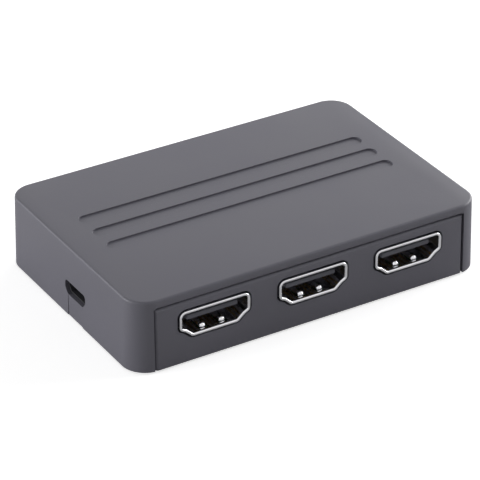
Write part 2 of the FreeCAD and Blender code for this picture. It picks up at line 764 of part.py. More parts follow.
def base_tray():
    """Floor of the case: it fits inside the walls, carries the board and takes the screws."""
    outline = rounded_rectangle(
        INNER_HALF_LENGTH - TRAY_GAP,
        INNER_HALF_WIDTH - TRAY_GAP,
        INNER_RADIUS - TRAY_GAP,
        FLOOR_Z,
    )
    plate = prism(outline, UP * TRAY_THICKNESS)
    half_width = PANEL_BACK_Y - PANEL_GAP
    limits = box_between(
        (-CASE_LENGTH, -half_width, FLOOR_Z - OVERRUN),
        (CASE_LENGTH, half_width, CASE_TOP_Z),
    )
    pieces = [plate.common(limits), power_tab()]
    for x, y in four_corners(SCREW_X, SCREW_Y):
        pieces.append(post(BOSS_RADIUS, x, y, FLOOR_Z, BOARD_BOTTOM_Z))
    for side in (-1, 1):
        pieces.append(post(SUPPORT_RADIUS, side * SUPPORT_X, 0, FLOOR_Z, BOARD_BOTTOM_Z))
        edge = INNER_HALF_LENGTH - TRAY_GAP
        ends = sorted((side * (edge - TRAY_RIB_THICKNESS), side * edge))
        pieces.append(box_between(
            (ends[0], -TRAY_RIB_LENGTH / 2, FLOOR_Z),
            (ends[1], TRAY_RIB_LENGTH / 2, BOARD_BOTTOM_Z - TRAY_RIB_TO_BOARD),
        ))
    cuts = []
    for x, y in four_corners(SCREW_X, SCREW_Y):
        cuts.append(post(SCREW_RADIUS + SCREW_GAP, x, y, FLOOR_Z - OVERRUN, CASE_TOP_Z))
        cuts.append(post(SCREW_HEAD_RADIUS + SCREW_GAP, x, y, FLOOR_Z - OVERRUN, SEAT_Z))
    for x, y in four_corners(FOOT_X, FOOT_Y):
        cuts.append(post(FOOT_RADIUS + FOOT_SEAT_GAP, x, y, FLOOR_Z - OVERRUN, FOOT_THICKNESS))
    return joined(pieces).cut(cuts)


def power_tab():
    """Tab of the tray that fills the wall's slot below the power socket."""
    outer_x = TAB_RECESS - CASE_LENGTH / 2
    half = POWER_SLOT_WIDTH / 2 - POWER_SLOT_GAP
    cavity_bottom = POWER_PLACE[0].z + POWER.right_corners[-1][1]
    top = cavity_bottom - POWER.wall - POWER_OPENING_GAP
    return joined([
        box_between(
            (outer_x, POWER_Y - half, FLOOR_Z),
            (-INNER_HALF_LENGTH, POWER_Y + half, top),
        ),
        box_between(
            (outer_x, POWER_Y - half, FLOOR_Z),
            (SUPPORT_RADIUS - INNER_HALF_LENGTH, POWER_Y + half, TRAY_TOP_Z),
        ),
    ])


def foot(x, y):
    """Round rubber foot in its seat under the tray."""
    pad = post(FOOT_RADIUS, x, y, 0, FOOT_THICKNESS)
    return pad.makeFillet(FOOT_EDGE_RADIUS, edges_at(pad, 2, 0))


def case_screws():
    """Four self-tapping screws with cross-recessed pan heads."""
    screws = []
    for x, y in four_corners(SCREW_X, SCREW_Y):
        head_z = FLOOR_Z + SCREW_SUNK
        head = post(SCREW_HEAD_RADIUS, x, y, head_z, SEAT_Z)
        head = head.makeFillet(SCREW_HEAD_HEIGHT / 3, edges_at(head, 2, head_z))
        screw = joined([head, post(SCREW_RADIUS, x, y, SEAT_Z, SCREW_TIP_Z)])
        long = SCREW_RECESS_LENGTH / 2
        short = SCREW_RECESS_WIDTH / 2
        cross = [
            box_between(
                (x - a, y - b, head_z - OVERRUN),
                (x + a, y + b, head_z + SCREW_RECESS_DEPTH),
            )
            for a, b in ((long, short), (short, long))
        ]
        screws.append(screw.cut(cross))
    return Part.makeCompound(screws)


def lamp_places():
    """Places of the lamps along the rear panel."""
    return [LAMP_CENTRE_X + offset for offset in centred(LAMP_COUNT, LAMP_PITCH)]


def lamp_back_y():
    """Place of the lamps' back faces."""
    return panel_face_y(LAMP_Z) + LAMP_PROUD - LAMP_LENGTH


def lamp(x):
    """Clear lamp body: flange, barrel and domed tip."""
    back = lamp_back_y()
    dome_y = back + LAMP_LENGTH - LAMP_RADIUS
    return joined([
        rod(LAMP_FLANGE_RADIUS, x, LAMP_Z, back, back + LAMP_FLANGE_THICKNESS),
        rod(LAMP_RADIUS, x, LAMP_Z, back, dome_y),
        Part.makeSphere(LAMP_RADIUS, Vector(x, dome_y, LAMP_Z)),
    ])


def lamp_lead_places():
    """Places of the lamps' leads along X."""
    return [x + side for x in lamp_places() for side in centred(2, LEAD_SPACING)]


def lamp_leads():
    """Bent leads that carry the lamps from the board."""
    back = lamp_back_y()
    half = LEAD_SIZE / 2
    low = BOARD_BOTTOM_Z - PIN_PROUD
    outline = [
        (back, LAMP_Z + half),
        (back - LEAD_RUN - LEAD_SIZE, LAMP_Z + half),
        (back - LEAD_RUN - LEAD_SIZE, low),
        (back - LEAD_RUN, low),
        (back - LEAD_RUN, LAMP_Z - half),
        (back, LAMP_Z - half),
    ]
    return Part.makeCompound([flat_prism(outline, x - half, x + half) for x in lamp_lead_places()])


def jack_blocks():
    """Jack's housing and barrel before the bore is cut."""
    back = PANEL_BACK_Y - JACK_TO_PANEL - JACK_LENGTH
    front = PANEL_BACK_Y - JACK_TO_PANEL
    half = JACK_WIDTH / 2
    return joined([
        box_between((JACK_X - half, back, BOARD_TOP_Z), (JACK_X + half, front, BOARD_TOP_Z + JACK_HEIGHT)),
        rod(JACK_BARREL_RADIUS, JACK_X, JACK_Z, front - OVERRUN, panel_face_y(JACK_Z)),
    ])


def jack_leaf(side, share, growth, opened=False):
    """One contact leaf beside the bore and its tail, or the pocket or slot for them.

    An opened pocket reaches into the bore, so that the leaf can press on the plug.
    """
    back = PANEL_BACK_Y - JACK_TO_PANEL - JACK_LENGTH
    middle = back + share * JACK_LENGTH
    near = JACK_BORE_RADIUS + JACK_LEAF_CLEAR
    far = near + JACK_LEAF_THICKNESS + growth
    tail_ends = sorted((JACK_X + side * (near - growth), JACK_X + side * far))
    leaf_near = JACK_BORE_RADIUS / 2 if opened else near - growth
    leaf_ends = sorted((JACK_X + side * leaf_near, JACK_X + side * far))
    half_length = JACK_LEAF_LENGTH / 2 + growth
    half_height = JACK_LEAF_HEIGHT / 2 + growth
    half_tail = JACK_TAIL_WIDTH / 2 + growth
    leaf = box_between(
        (leaf_ends[0], middle - half_length, JACK_Z - half_height),
        (leaf_ends[1], middle + half_length, JACK_Z + half_height),
    )
    tail = box_between(
        (tail_ends[0], middle - half_tail, BOARD_BOTTOM_Z - PIN_PROUD - growth),
        (tail_ends[1], middle + half_tail, JACK_Z),
    )
    return joined([leaf, tail])


JACK_LEAVES = list(zip(JACK_LEAF_SIDES, JACK_LEAF_SHARES))


def jack_body():
    """Moulded body of the remote receiver jack, with its bore and contact pockets."""
    low = PANEL_BACK_Y - JACK_TO_PANEL - JACK_LENGTH + JACK_BACK_WALL
    bore = rod(JACK_BORE_RADIUS, JACK_X, JACK_Z, low, CASE_WIDTH / 2 + OVERRUN)
    pockets = [jack_leaf(side, share, JACK_LEAF_CLEAR, True) for side, share in JACK_LEAVES]
    return jack_blocks().cut([bore] + pockets)


def jack_contacts():
    """Three sprung contact leaves of the jack."""
    return Part.makeCompound([jack_leaf(side, share, 0) for side, share in JACK_LEAVES])


def switch_back_y():
    """Back face of the push switch's body."""
    return SWITCH_FACE_Y - SWITCH_SHEET - SWITCH_DEPTH


def switch_body():
    """Moulded cup of the push switch, standing on the board."""
    half = SWITCH_SIZE / 2
    front = SWITCH_FACE_Y - SWITCH_SHEET
    block = box_between(
        (BUTTON_X - half, switch_back_y(), BOARD_TOP_Z),
        (BUTTON_X + half, front, BOARD_TOP_Z + SWITCH_SIZE),
    )
    cavity = rod(SWITCH_CAVITY_RADIUS, BUTTON_X, BUTTON_Z, front - SWITCH_CAVITY_DEPTH, front + OVERRUN)
    return block.cut(cavity)


def switch_ear(side, growth):
    """Leg of the switch's steel cover that goes through the board, or its slot."""
    half = SWITCH_SIZE / 2
    ends = sorted((
        BUTTON_X + side * (half - growth),
        BUTTON_X + side * (half + SWITCH_SHEET + growth),
    ))
    middle = switch_back_y() + SWITCH_DEPTH / 2
    return box_between(
        (ends[0], middle - SWITCH_PIN_WIDTH / 2 - growth, BOARD_BOTTOM_Z - PIN_PROUD - growth),
        (ends[1], middle + SWITCH_PIN_WIDTH / 2 + growth, BOARD_TOP_Z),
    )


def switch_cover():
    """Steel face of the push switch, folded back along both sides of its body."""
    half = SWITCH_SIZE / 2
    wide = half + SWITCH_SHEET
    face = box_between(
        (BUTTON_X - wide, SWITCH_FACE_Y - SWITCH_SHEET, BOARD_TOP_Z),
        (BUTTON_X + wide, SWITCH_FACE_Y, BOARD_TOP_Z + SWITCH_SIZE),
    )
    pieces = [face]
    for side in (-1, 1):
        ends = sorted((BUTTON_X + side * half, BUTTON_X + side * wide))
        pieces.append(box_between(
            (ends[0], switch_back_y(), BOARD_TOP_Z),
            (ends[1], SWITCH_FACE_Y - SWITCH_SHEET, BOARD_TOP_Z + SWITCH_SIZE),
        ))
        pieces.append(switch_ear(side, 0))
    hole = rod(
        STEM_RADIUS + STEM_GAP,
        BUTTON_X,
        BUTTON_Z,
        SWITCH_FACE_Y - SWITCH_SHEET - OVERRUN,
        SWITCH_FACE_Y + OVERRUN,
    )
    return joined(pieces).cut(hole)


def switch_plunger():
    """Stem of the push switch: it carries the cap in front and presses the dome behind."""
    flange_front = SWITCH_FACE_Y - SWITCH_SHEET - STEM_GAP
    flange_back = flange_front - STEM_FLANGE_THICKNESS
    cavity_back = SWITCH_FACE_Y - SWITCH_SHEET - SWITCH_CAVITY_DEPTH
    nub_tip = cavity_back + DOME_RISE + STEM_NUB_GAP + BUTTON_TRAVEL
    stem_tip = PANEL_BACK_Y - CAP_FLANGE_GAP - CAP_FLANGE_THICKNESS + CAP_SOCKET_DEPTH
    return joined([
        rod(STEM_NUB_RADIUS, BUTTON_X, BUTTON_Z, nub_tip, flange_front),
        rod(STEM_FLANGE_RADIUS, BUTTON_X, BUTTON_Z, flange_back, flange_front),
        rod(STEM_RADIUS, BUTTON_X, BUTTON_Z, flange_back, stem_tip),
    ])


def switch_dome():
    """Thin snap dome on the floor of the switch's cavity, drawn as it lies when pressed."""
    floor_y = SWITCH_FACE_Y - SWITCH_SHEET - SWITCH_CAVITY_DEPTH
    outer = DOME_RADIUS ** 2 / (2 * DOME_RISE) + DOME_RISE / 2
    centre = Vector(BUTTON_X, floor_y + DOME_RISE - outer, BUTTON_Z)
    skin = Part.makeSphere(outer, centre).cut(Part.makeSphere(outer - DOME_THICKNESS, centre))
    limits = rod(DOME_RADIUS + OVERRUN, BUTTON_X, BUTTON_Z, floor_y, floor_y + DOME_RISE + OVERRUN)
    return skin.common(limits)


def switch_pin_places():
    """Places of the switch's terminals."""
    return [BUTTON_X + offset for offset in centred(2, SWITCH_PIN_SPACING)]


def switch_pin(x, growth):
    """Terminal under the switch's body, or its slot in the board."""
    middle = switch_back_y() + SWITCH_DEPTH / 4
    half = SWITCH_PIN_THICKNESS / 2 + growth
    wide = SWITCH_PIN_WIDTH / 2 + growth
    return box_between(
        (x - wide, middle - half, BOARD_BOTTOM_Z - PIN_PROUD - growth),
        (x + wide, middle + half, BOARD_TOP_Z),
    )


def switch_terminals():
    """Two terminals of the push switch."""
    return Part.makeCompound([switch_pin(x, 0) for x in switch_pin_places()])


def select_button():
    """Button cap: round nose through the panel, flange behind it and a socket for the stem."""
    flange_back = PANEL_BACK_Y - CAP_FLANGE_GAP - CAP_FLANGE_THICKNESS
    nose = panel_face_y(BUTTON_Z) + CAP_PROUD
    body = rod(CAP_RADIUS, BUTTON_X, BUTTON_Z, flange_back, nose)
    body = body.makeFillet(CAP_EDGE_RADIUS, edges_at(body, 1, nose))
    flange = rod(
        CAP_FLANGE_RADIUS, BUTTON_X, BUTTON_Z, flange_back, flange_back + CAP_FLANGE_THICKNESS
    )
    socket = rod(
        STEM_RADIUS + PILOT_GAP,
        BUTTON_X,
        BUTTON_Z,
        flange_back - OVERRUN,
        flange_back + CAP_SOCKET_DEPTH,
    )
    return joined([body, flange]).cut(socket)


def chip_body(place, size_x, size_y, height):
    """Moulded chip body on the board."""
    x, y = place
    return box_between(
        (x - size_x / 2, y - size_y / 2, BOARD_TOP_Z),
        (x + size_x / 2, y + size_y / 2, BOARD_TOP_Z + height),
    )


def lead_row(place, edge, count, pitch, width, angle):
    """Row of bent leads along the side of a chip that an angle points to."""
    outline = [
        (edge, CHIP_LEAD_HEIGHT),
        (edge + CHIP_LEAD_REACH - CHIP_LEAD_FOOT, CHIP_LEAD_HEIGHT),
        (edge + CHIP_LEAD_REACH - CHIP_LEAD_FOOT, CHIP_LEAD_THICKNESS),
        (edge + CHIP_LEAD_REACH, CHIP_LEAD_THICKNESS),
        (edge + CHIP_LEAD_REACH, 0),
        (edge + CHIP_LEAD_REACH - CHIP_LEAD_FOOT - CHIP_LEAD_THICKNESS, 0),
        (
            edge + CHIP_LEAD_REACH - CHIP_LEAD_FOOT - CHIP_LEAD_THICKNESS,
            CHIP_LEAD_HEIGHT - CHIP_LEAD_THICKNESS,
        ),
        (edge, CHIP_LEAD_HEIGHT - CHIP_LEAD_THICKNESS),
    ]
    leads = []
    for offset in centred(count, pitch):
        lead = turned(flat_prism(outline, offset - width / 2, offset + width / 2), angle)
        lead.translate(Vector(place[0], place[1], BOARD_TOP_Z))
        leads.append(lead)
    return leads


def switch_chip_leads():
    """Leads on all four sides of the square switching chip."""
    count = int((SWITCH_CHIP_SIZE - 2 * FINE_PITCH) / FINE_PITCH) + 1
    leads = []
    for quarter in range(4):
        leads += lead_row(
            SWITCH_CHIP_PLACE, SWITCH_CHIP_SIZE / 2, count, FINE_PITCH, FINE_LEAD_WIDTH, 90 * quarter
        )
    return Part.makeCompound(leads)


def paired_leads(place, size):
    """Leads along both long sides of a small chip."""
    count = int(size[1] / COARSE_PITCH)
    leads = []
    for angle in (90, -90):
        leads += lead_row(place, size[0] / 2, count, COARSE_PITCH, COARSE_LEAD_WIDTH, angle)
    return leads


def control_chip_leads():
    """Leads of the control chip."""
    return Part.makeCompound(paired_leads(CONTROL_CHIP_PLACE, CONTROL_CHIP_SIZE))


def memory_chips():
    """One small memory chip for each input."""
    width, length = MEMORY_CHIP_SIZE
    return Part.makeCompound(
        [chip_body(place, width, length, SMALL_CHIP_HEIGHT) for place in MEMORY_CHIP_PLACES]
    )


def memory_chip_leads():
    """Leads of the memory chips."""
    leads = []
    for place in MEMORY_CHIP_PLACES:
        leads += paired_leads(place, MEMORY_CHIP_SIZE)
    return Part.makeCompound(leads)


def regulator_leads():
    """Three leads of the regulator, and its wide tab on the other side."""
    edge = REGULATOR_SIZE[1] / 2
    leads = lead_row(REGULATOR_PLACE, edge, 3, REGULATOR_PITCH, REGULATOR_LEAD_WIDTH, 180)
    leads += lead_row(REGULATOR_PLACE, edge, 1, REGULATOR_PITCH, REGULATOR_TAB_WIDTH, 0)
    return Part.makeCompound(leads)


def crystal_pin_places():
    """Places of the crystal's two pins."""
    x, y = CRYSTAL_PLACE
    return [(x + offset, y) for offset in centred(2, CRYSTAL_PIN_SPACING)]


def crystal():
    """Low crystal can, round at both ends, on two pins."""
    length, width = CRYSTAL_SIZE
    outline = rounded_rectangle(length / 2, width / 2, 0.49 * width, 0)
    can = prism(outline, UP * CRYSTAL_HEIGHT)
    can = can.makeFillet(CRYSTAL_EDGE_RADIUS, edges_at(can, 2, CRYSTAL_HEIGHT))
    can.translate(Vector(*CRYSTAL_PLACE, BOARD_TOP_Z))
    low = BOARD_BOTTOM_Z - PIN_PROUD
    pins = [post(CRYSTAL_PIN_RADIUS, x, y, low, BOARD_TOP_Z) for x, y in crystal_pin_places()]
    return joined([can] + pins)


def bulk_capacitor_base():
    """Square moulded base of the supply capacitor."""
    return chip_body(BULK_PLACE, BULK_BASE_SIZE, BULK_BASE_SIZE, BULK_BASE_HEIGHT)


def bulk_capacitor_can():
    """Round can of the supply capacitor."""
    low = BOARD_TOP_Z + BULK_BASE_HEIGHT
    can = post(BULK_RADIUS, *BULK_PLACE, low, low + BULK_HEIGHT)
    return can.makeFillet(BULK_EDGE_RADIUS, edges_at(can, 2, low + BULK_HEIGHT))


def small_block(x, y, size):
    """Small block-shaped part soldered to the board."""
    return chip_body((x, y), size[0], size[1], size[2])


def ceramic_capacitors():
    """Row of small capacitors behind each video socket."""
    rows = [(place.x, -COUPLING_ROW_Y) for place, angle in INPUT_PLACES]
    rows.append((OUTPUT_PLACE[0].x, COUPLING_ROW_Y))
    blocks = []
    for row_x, row_y in rows:
        for offset in centred(COUPLING_COUNT, COUPLING_PITCH):
            blocks.append(small_block(row_x + offset, row_y, CAPACITOR_SIZE))
    return Part.makeCompound(blocks)


def chip_resistors():
    """Row of small resistors beside the lamps."""
    x, y = RESISTOR_ROW_PLACE
    offsets = centred(RESISTOR_COUNT, RESISTOR_PITCH)
    return Part.makeCompound([small_block(x + offset, y, RESISTOR_SIZE) for offset in offsets])


def button_notch():
    """Cutter for the board's edge, where the button's flange travels."""
    reach = CAP_FLANGE_RADIUS + BOARD_GAP
    flange_back = PANEL_BACK_Y - CAP_FLANGE_GAP - CAP_FLANGE_THICKNESS
    return box_between(
        (BUTTON_X - reach, flange_back - BUTTON_TRAVEL - BOARD_GAP, BOARD_BOTTOM_Z - OVERRUN),
        (BUTTON_X + reach, CASE_WIDTH / 2, BOARD_TOP_Z + OVERRUN),
    )


def circuit_board():
    """Board with holes for the screws and slots for every leg and pin."""
    outline = rounded_rectangle(
        BOARD_HALF_LENGTH, BOARD_HALF_WIDTH, INNER_RADIUS - BOARD_GAP, BOARD_BOTTOM_Z
    )
    board = prism(outline, UP * BOARD_THICKNESS)
    low = BOARD_BOTTOM_Z - OVERRUN
    high = BOARD_TOP_Z + OVERRUN
    gap = BOARD_SLOT_GAP
    cuts = [post(SCREW_RADIUS + SCREW_GAP, x, y, low, high) for x, y in four_corners(SCREW_X, SCREW_Y)]
    for place in INPUT_PLACES + [OUTPUT_PLACE]:
        cuts += [placed(leg, place) for leg in VIDEO.legs(gap)]
    cuts += [placed(leg, POWER_PLACE) for leg in POWER.legs(gap)]
    half = LEAD_SIZE / 2 + gap
    lead_y = lamp_back_y() - LEAD_RUN - LEAD_SIZE / 2
    for x in lamp_lead_places():
        cuts.append(box_between((x - half, lead_y - half, low), (x + half, lead_y + half, high)))
    for x, y in crystal_pin_places():
        cuts.append(post(CRYSTAL_PIN_RADIUS + gap, x, y, low, high))
    cuts.append(button_notch())
    cuts += [jack_leaf(side, share, gap) for side, share in JACK_LEAVES]
    cuts += [switch_ear(side, gap) for side in (-1, 1)]
    cuts += [switch_pin(x, gap) for x in switch_pin_places()]
    return board.cut(cuts)


def sub_parts():
    """Every sub-part by name."""
    parts = {
        "top_cover": top_cover(),
        "base_tray": base_tray(),
        "front_panel": front_panel(),
        "rear_panel": rear_panel(),
        "circuit_board": circuit_board(),
    }
    sockets = [("video_in_" + str(index + 1), place) for index, place in enumerate(INPUT_PLACES)]
    sockets.append(("video_out", OUTPUT_PLACE))
    shell = video_shell()
    insulator = VIDEO.insulator()
    contacts = VIDEO.contacts()
    for name, place in sockets:
        parts[name + "_shell"] = placed(shell, place)
        parts[name + "_insulator"] = placed(insulator, place)
        parts[name + "_contacts"] = placed(contacts, place)
    parts["power_socket_shell"] = placed(POWER.tube(), POWER_PLACE)
    parts["power_socket_insulator"] = placed(POWER.insulator(), POWER_PLACE)
    parts["power_socket_contacts"] = placed(POWER.contacts(), POWER_PLACE)
    for index, x in enumerate(lamp_places()):
        parts["lamp_" + str(index + 1)] = lamp(x)
    for index, (x, y) in enumerate(four_corners(FOOT_X, FOOT_Y)):
        parts["foot_" + str(index + 1)] = foot(x, y)
    width, length = CONTROL_CHIP_SIZE
    parts.update({
        "lamp_leads": lamp_leads(),
        "jack_body": jack_body(),
        "jack_contacts": jack_contacts(),
        "select_button": select_button(),
        "switch_body": switch_body(),
        "switch_cover": switch_cover(),
        "switch_plunger": switch_plunger(),
        "switch_dome": switch_dome(),
        "switch_terminals": switch_terminals(),
        "switch_chip": chip_body(
            SWITCH_CHIP_PLACE, SWITCH_CHIP_SIZE, SWITCH_CHIP_SIZE, SWITCH_CHIP_HEIGHT
        ),
        "switch_chip_leads": switch_chip_leads(),
        "control_chip": chip_body(CONTROL_CHIP_PLACE, width, length, SMALL_CHIP_HEIGHT),
        "control_chip_leads": control_chip_leads(),
        "memory_chips": memory_chips(),
        "memory_chip_leads": memory_chip_leads(),
        "regulator": chip_body(REGULATOR_PLACE, *REGULATOR_SIZE, REGULATOR_HEIGHT),
        "regulator_leads": regulator_leads(),
        "crystal": crystal(),
        "bulk_capacitor_base": bulk_capacitor_base(),
        "bulk_capacitor_can": bulk_capacitor_can(),
        "ceramic_capacitors": ceramic_capacitors(),
        "chip_resistors": chip_resistors(),
        "case_screws": case_screws(),
    })
    return parts


def main():
    """Write one STEP file for each sub-part."""
    os.makedirs("parts", exist_ok=True)
    for name, shape in sub_parts().items():
        shape.exportStep("parts/" + name + ".step")
        valid = all(solid.isValid() for solid in shape.Solids)
        print(name, "solids", len(shape.Solids), "volume", round(shape.Volume, 3), "valid", valid)


main()
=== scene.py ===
"""Looks of a small dark grey video switch box with three input sockets.

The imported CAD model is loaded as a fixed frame. The pieces that show are modelled again
here with softened edges, the pieces inside keep their CAD shape, and every piece gets a
procedural finish. Lengths are metres in the frame's own axes, apart from those whose name
ends in _mm and the corners and radii of an Outline, which are millimetres.
"""

import json
import logging
import math
from contextlib import contextmanager
from dataclasses import dataclass, field
from enum import Enum
from typing import Iterable, Iterator, Optional, Sequence

import bmesh
import bpy
from bmesh.types import BMEdge, BMesh, BMVert
from bpy.types import Material, Mesh, Node, NodeSocket, NodeTree, Object
from mathutils import Matrix, Vector


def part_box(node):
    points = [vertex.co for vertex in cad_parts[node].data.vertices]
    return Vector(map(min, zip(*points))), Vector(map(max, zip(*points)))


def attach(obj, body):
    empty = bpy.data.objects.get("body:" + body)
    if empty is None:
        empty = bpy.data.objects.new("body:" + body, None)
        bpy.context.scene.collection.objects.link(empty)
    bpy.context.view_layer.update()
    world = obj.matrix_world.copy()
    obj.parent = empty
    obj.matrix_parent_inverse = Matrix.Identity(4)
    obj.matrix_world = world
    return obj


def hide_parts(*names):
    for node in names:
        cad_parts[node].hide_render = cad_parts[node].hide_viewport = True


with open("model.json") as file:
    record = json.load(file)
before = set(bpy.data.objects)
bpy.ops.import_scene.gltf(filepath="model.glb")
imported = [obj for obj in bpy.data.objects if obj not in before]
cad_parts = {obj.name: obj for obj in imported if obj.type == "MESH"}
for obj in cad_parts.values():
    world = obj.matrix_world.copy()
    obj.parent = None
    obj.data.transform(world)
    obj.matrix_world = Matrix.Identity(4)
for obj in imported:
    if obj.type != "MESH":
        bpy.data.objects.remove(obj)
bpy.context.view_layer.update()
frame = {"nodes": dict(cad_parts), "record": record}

NEAR = 1e-6
INPUT_NUMBERS = (1, 2, 3)
LAMP_NUMBERS = (1, 2, 3)
FOOT_NUMBERS = (1, 2, 3, 4)
LOG = logging.getLogger("scene")


def mm(value: float) -> float:
    """Millimetres to metres."""
    return value * 0.001


class Body(Enum):
    """Bodies that the pieces ride on."""

    CASE = "root"
    BUTTON = "select_button_body"


class Facing(Enum):
    """Which way a socket's mouth looks, as a turn about the upright axis."""

    FRONT = 0.0
    REAR = math.pi
    LEFT = -math.pi / 2


# Materials

NOISE_ROUGHNESS = 0.55
GRAIN_DETAIL = 2.0
MOTTLE_DETAIL = 3.0
MOTTLE_SPAN = (0.3, 0.7)
COAT_ROUGHNESS = 0.1
# One band of the Wave texture at a scale of 1.
WAVE_BAND = math.tau / 20


def linear(colour: str) -> tuple[float, float, float, float]:
    """Linear colour of an sRGB hex colour.

    Args:
        colour: six hex digits after a hash.

    Returns:
        Red, green, blue and an alpha of 1.
    """
    channels = []
    for start in (1, 3, 5):
        value = int(colour[start:start + 2], 16) / 255
        channels.append(value / 12.92 if value <= 0.04045 else ((value + 0.055) / 1.055) ** 2.4)
    return (*channels, 1.0)


def add_node(
    tree: NodeTree,
    kind: str,
    settings: Optional[dict] = None,
    links: Optional[dict] = None,
) -> Node:
    """Add a node with its settings and links.

    Args:
        tree: node tree that gets the node.
        kind: the node's class name.
        settings: values by attribute name, or by input name or index.
        links: output sockets by the input name or index that they feed.

    Returns:
        The new node.
    """
    node = tree.nodes.new(kind)
    for name, value in (settings or {}).items():
        if isinstance(name, str) and hasattr(node, name):
            setattr(node, name, value)
        else:
            node.inputs[name].default_value = value
    for name, socket in (links or {}).items():
        tree.links.new(socket, node.inputs[name])
    return node


@dataclass(frozen=True)
class Finish:
    """One real material: a Principled shader with a wandering colour and a fine relief.

    grain_mm is the size of one grain of the surface, relief_mm its height, and stretch its
    shape along X, Y and Z. mottle_mm is the distance over which the colour and the gloss wander.
    """

    name: str
    slot: str
    colour: str
    second_colour: str
    roughness: float
    roughness_spread: float = 0.05
    metallic: float = 0.0
    ior: float = 1.5
    coat: float = 0.0
    transmission: float = 0.0
    specular: float = 0.5
    grain_mm: float = 0.3
    relief_mm: float = 0.004
    stretch: tuple[float, float, float] = (1.0, 1.0, 1.0)
    mottle_mm: float = 18.0

    def place(self, tree: NodeTree) -> NodeSocket:
        """Place on the piece, as the grain's shape needs it.

        Args:
            tree: the material's node tree.

        Returns:
            Object coordinates, squeezed along each axis.
        """
        place = add_node(tree, "ShaderNodeTexCoord").outputs["Object"]
        squeeze = tuple(1 / value for value in self.stretch)
        mapping = add_node(tree, "ShaderNodeMapping", {"Scale": squeeze}, {"Vector": place})
        return mapping.outputs["Vector"]

    def noise(
        self, tree: NodeTree, place: NodeSocket, size_mm: float, detail: float
    ) -> NodeSocket:
        """Noise whose features have a real size.

        Args:
            tree: the material's node tree.
            place: where on the piece it is read.
            size_mm: size of its features.
            detail: how many finer noises are added to it.

        Returns:
            The noise's value.
        """
        settings = {"Scale": 1 / mm(size_mm), "Detail": detail, "Roughness": NOISE_ROUGHNESS}
        return add_node(tree, "ShaderNodeTexNoise", settings, {"Vector": place}).outputs["Fac"]

    def blend(self, tree: NodeTree, share: NodeSocket) -> NodeSocket:
        """Mix of the two colours.

        Args:
            tree: the material's node tree.
            share: share of the second colour.

        Returns:
            The mixed colour.
        """
        # Inputs 6 and 7 and output 2 are the Mix node's colours.
        colours = {"data_type": "RGBA", 6: linear(self.colour), 7: linear(self.second_colour)}
        return add_node(tree, "ShaderNodeMix", colours, {0: share}).outputs[2]

    def shade_of(self, tree: NodeTree, place: NodeSocket, mottle: NodeSocket) -> NodeSocket:
        """Colour of the surface, which wanders between the two."""
        return self.blend(tree, mottle)

    def height_of(self, tree: NodeTree, place: NodeSocket) -> NodeSocket:
        """Height of the surface's relief."""
        return self.noise(tree, place, self.grain_mm, GRAIN_DETAIL)

    def build(self) -> Material:
        """Make the material, once.

        Returns:
            The material of this finish.
        """
        found = bpy.data.materials.get(self.name)
        if found:
            return found
        material = bpy.data.materials.new(self.name)
        material.use_nodes = True
        tree = material.node_tree
        tree.nodes.clear()
        place = self.place(tree)
        mottle = self.noise(tree, place, self.mottle_mm, MOTTLE_DETAIL)
        gloss = add_node(
            tree,
            "ShaderNodeMapRange",
            {
                "From Min": MOTTLE_SPAN[0],
                "From Max": MOTTLE_SPAN[1],
                "To Min": self.roughness - self.roughness_spread,
                "To Max": self.roughness + self.roughness_spread,
            },
            {"Value": mottle},
        )
        relief = add_node(
            tree,
            "ShaderNodeBump",
            {"Strength": 1.0, "Distance": mm(self.relief_mm)},
            {"Height": self.height_of(tree, place)},
        )
        shader = add_node(
            tree,
            "ShaderNodeBsdfPrincipled",
            {
                "Metallic": self.metallic,
                "IOR": self.ior,
                "Specular IOR Level": self.specular,
                "Coat Weight": self.coat,
                "Coat Roughness": COAT_ROUGHNESS,
                "Transmission Weight": self.transmission,
            },
            {
                "Base Color": self.shade_of(tree, place, mottle),
                "Roughness": gloss.outputs["Result"],
                "Normal": relief.outputs["Normal"],
            },
        )
        add_node(tree, "ShaderNodeOutputMaterial", None, {"Surface": shader.outputs["BSDF"]})
        return material


@dataclass(frozen=True)
class SparkErodedPlastic(Finish):
    """Moulded plastic with the pitted grain that a spark-eroded mould leaves.

    Real pits, about 0.1 mm wide, are too fine to show, so they are drawn as wide as pit_mm.
    """

    pit_mm: float = 0.45
    pit_smoothness: float = 0.6

    def height_of(self, tree: NodeTree, place: NodeSocket) -> NodeSocket:
        """Round pits of one size with a finer noise between them.

        Args:
            tree: the material's node tree.
            place: where on the piece it is read.

        Returns:
            The relief's height.
        """
        pits = add_node(
            tree,
            "ShaderNodeTexVoronoi",
            {
                "feature": "SMOOTH_F1",
                "Scale": 1 / mm(self.pit_mm),
                "Smoothness": self.pit_smoothness,
            },
            {"Vector": place},
        )
        fine = self.noise(tree, place, self.grain_mm, GRAIN_DETAIL)
        both = {0: pits.outputs["Distance"], 1: fine}
        return add_node(tree, "ShaderNodeMath", {"operation": "ADD"}, both).outputs["Value"]


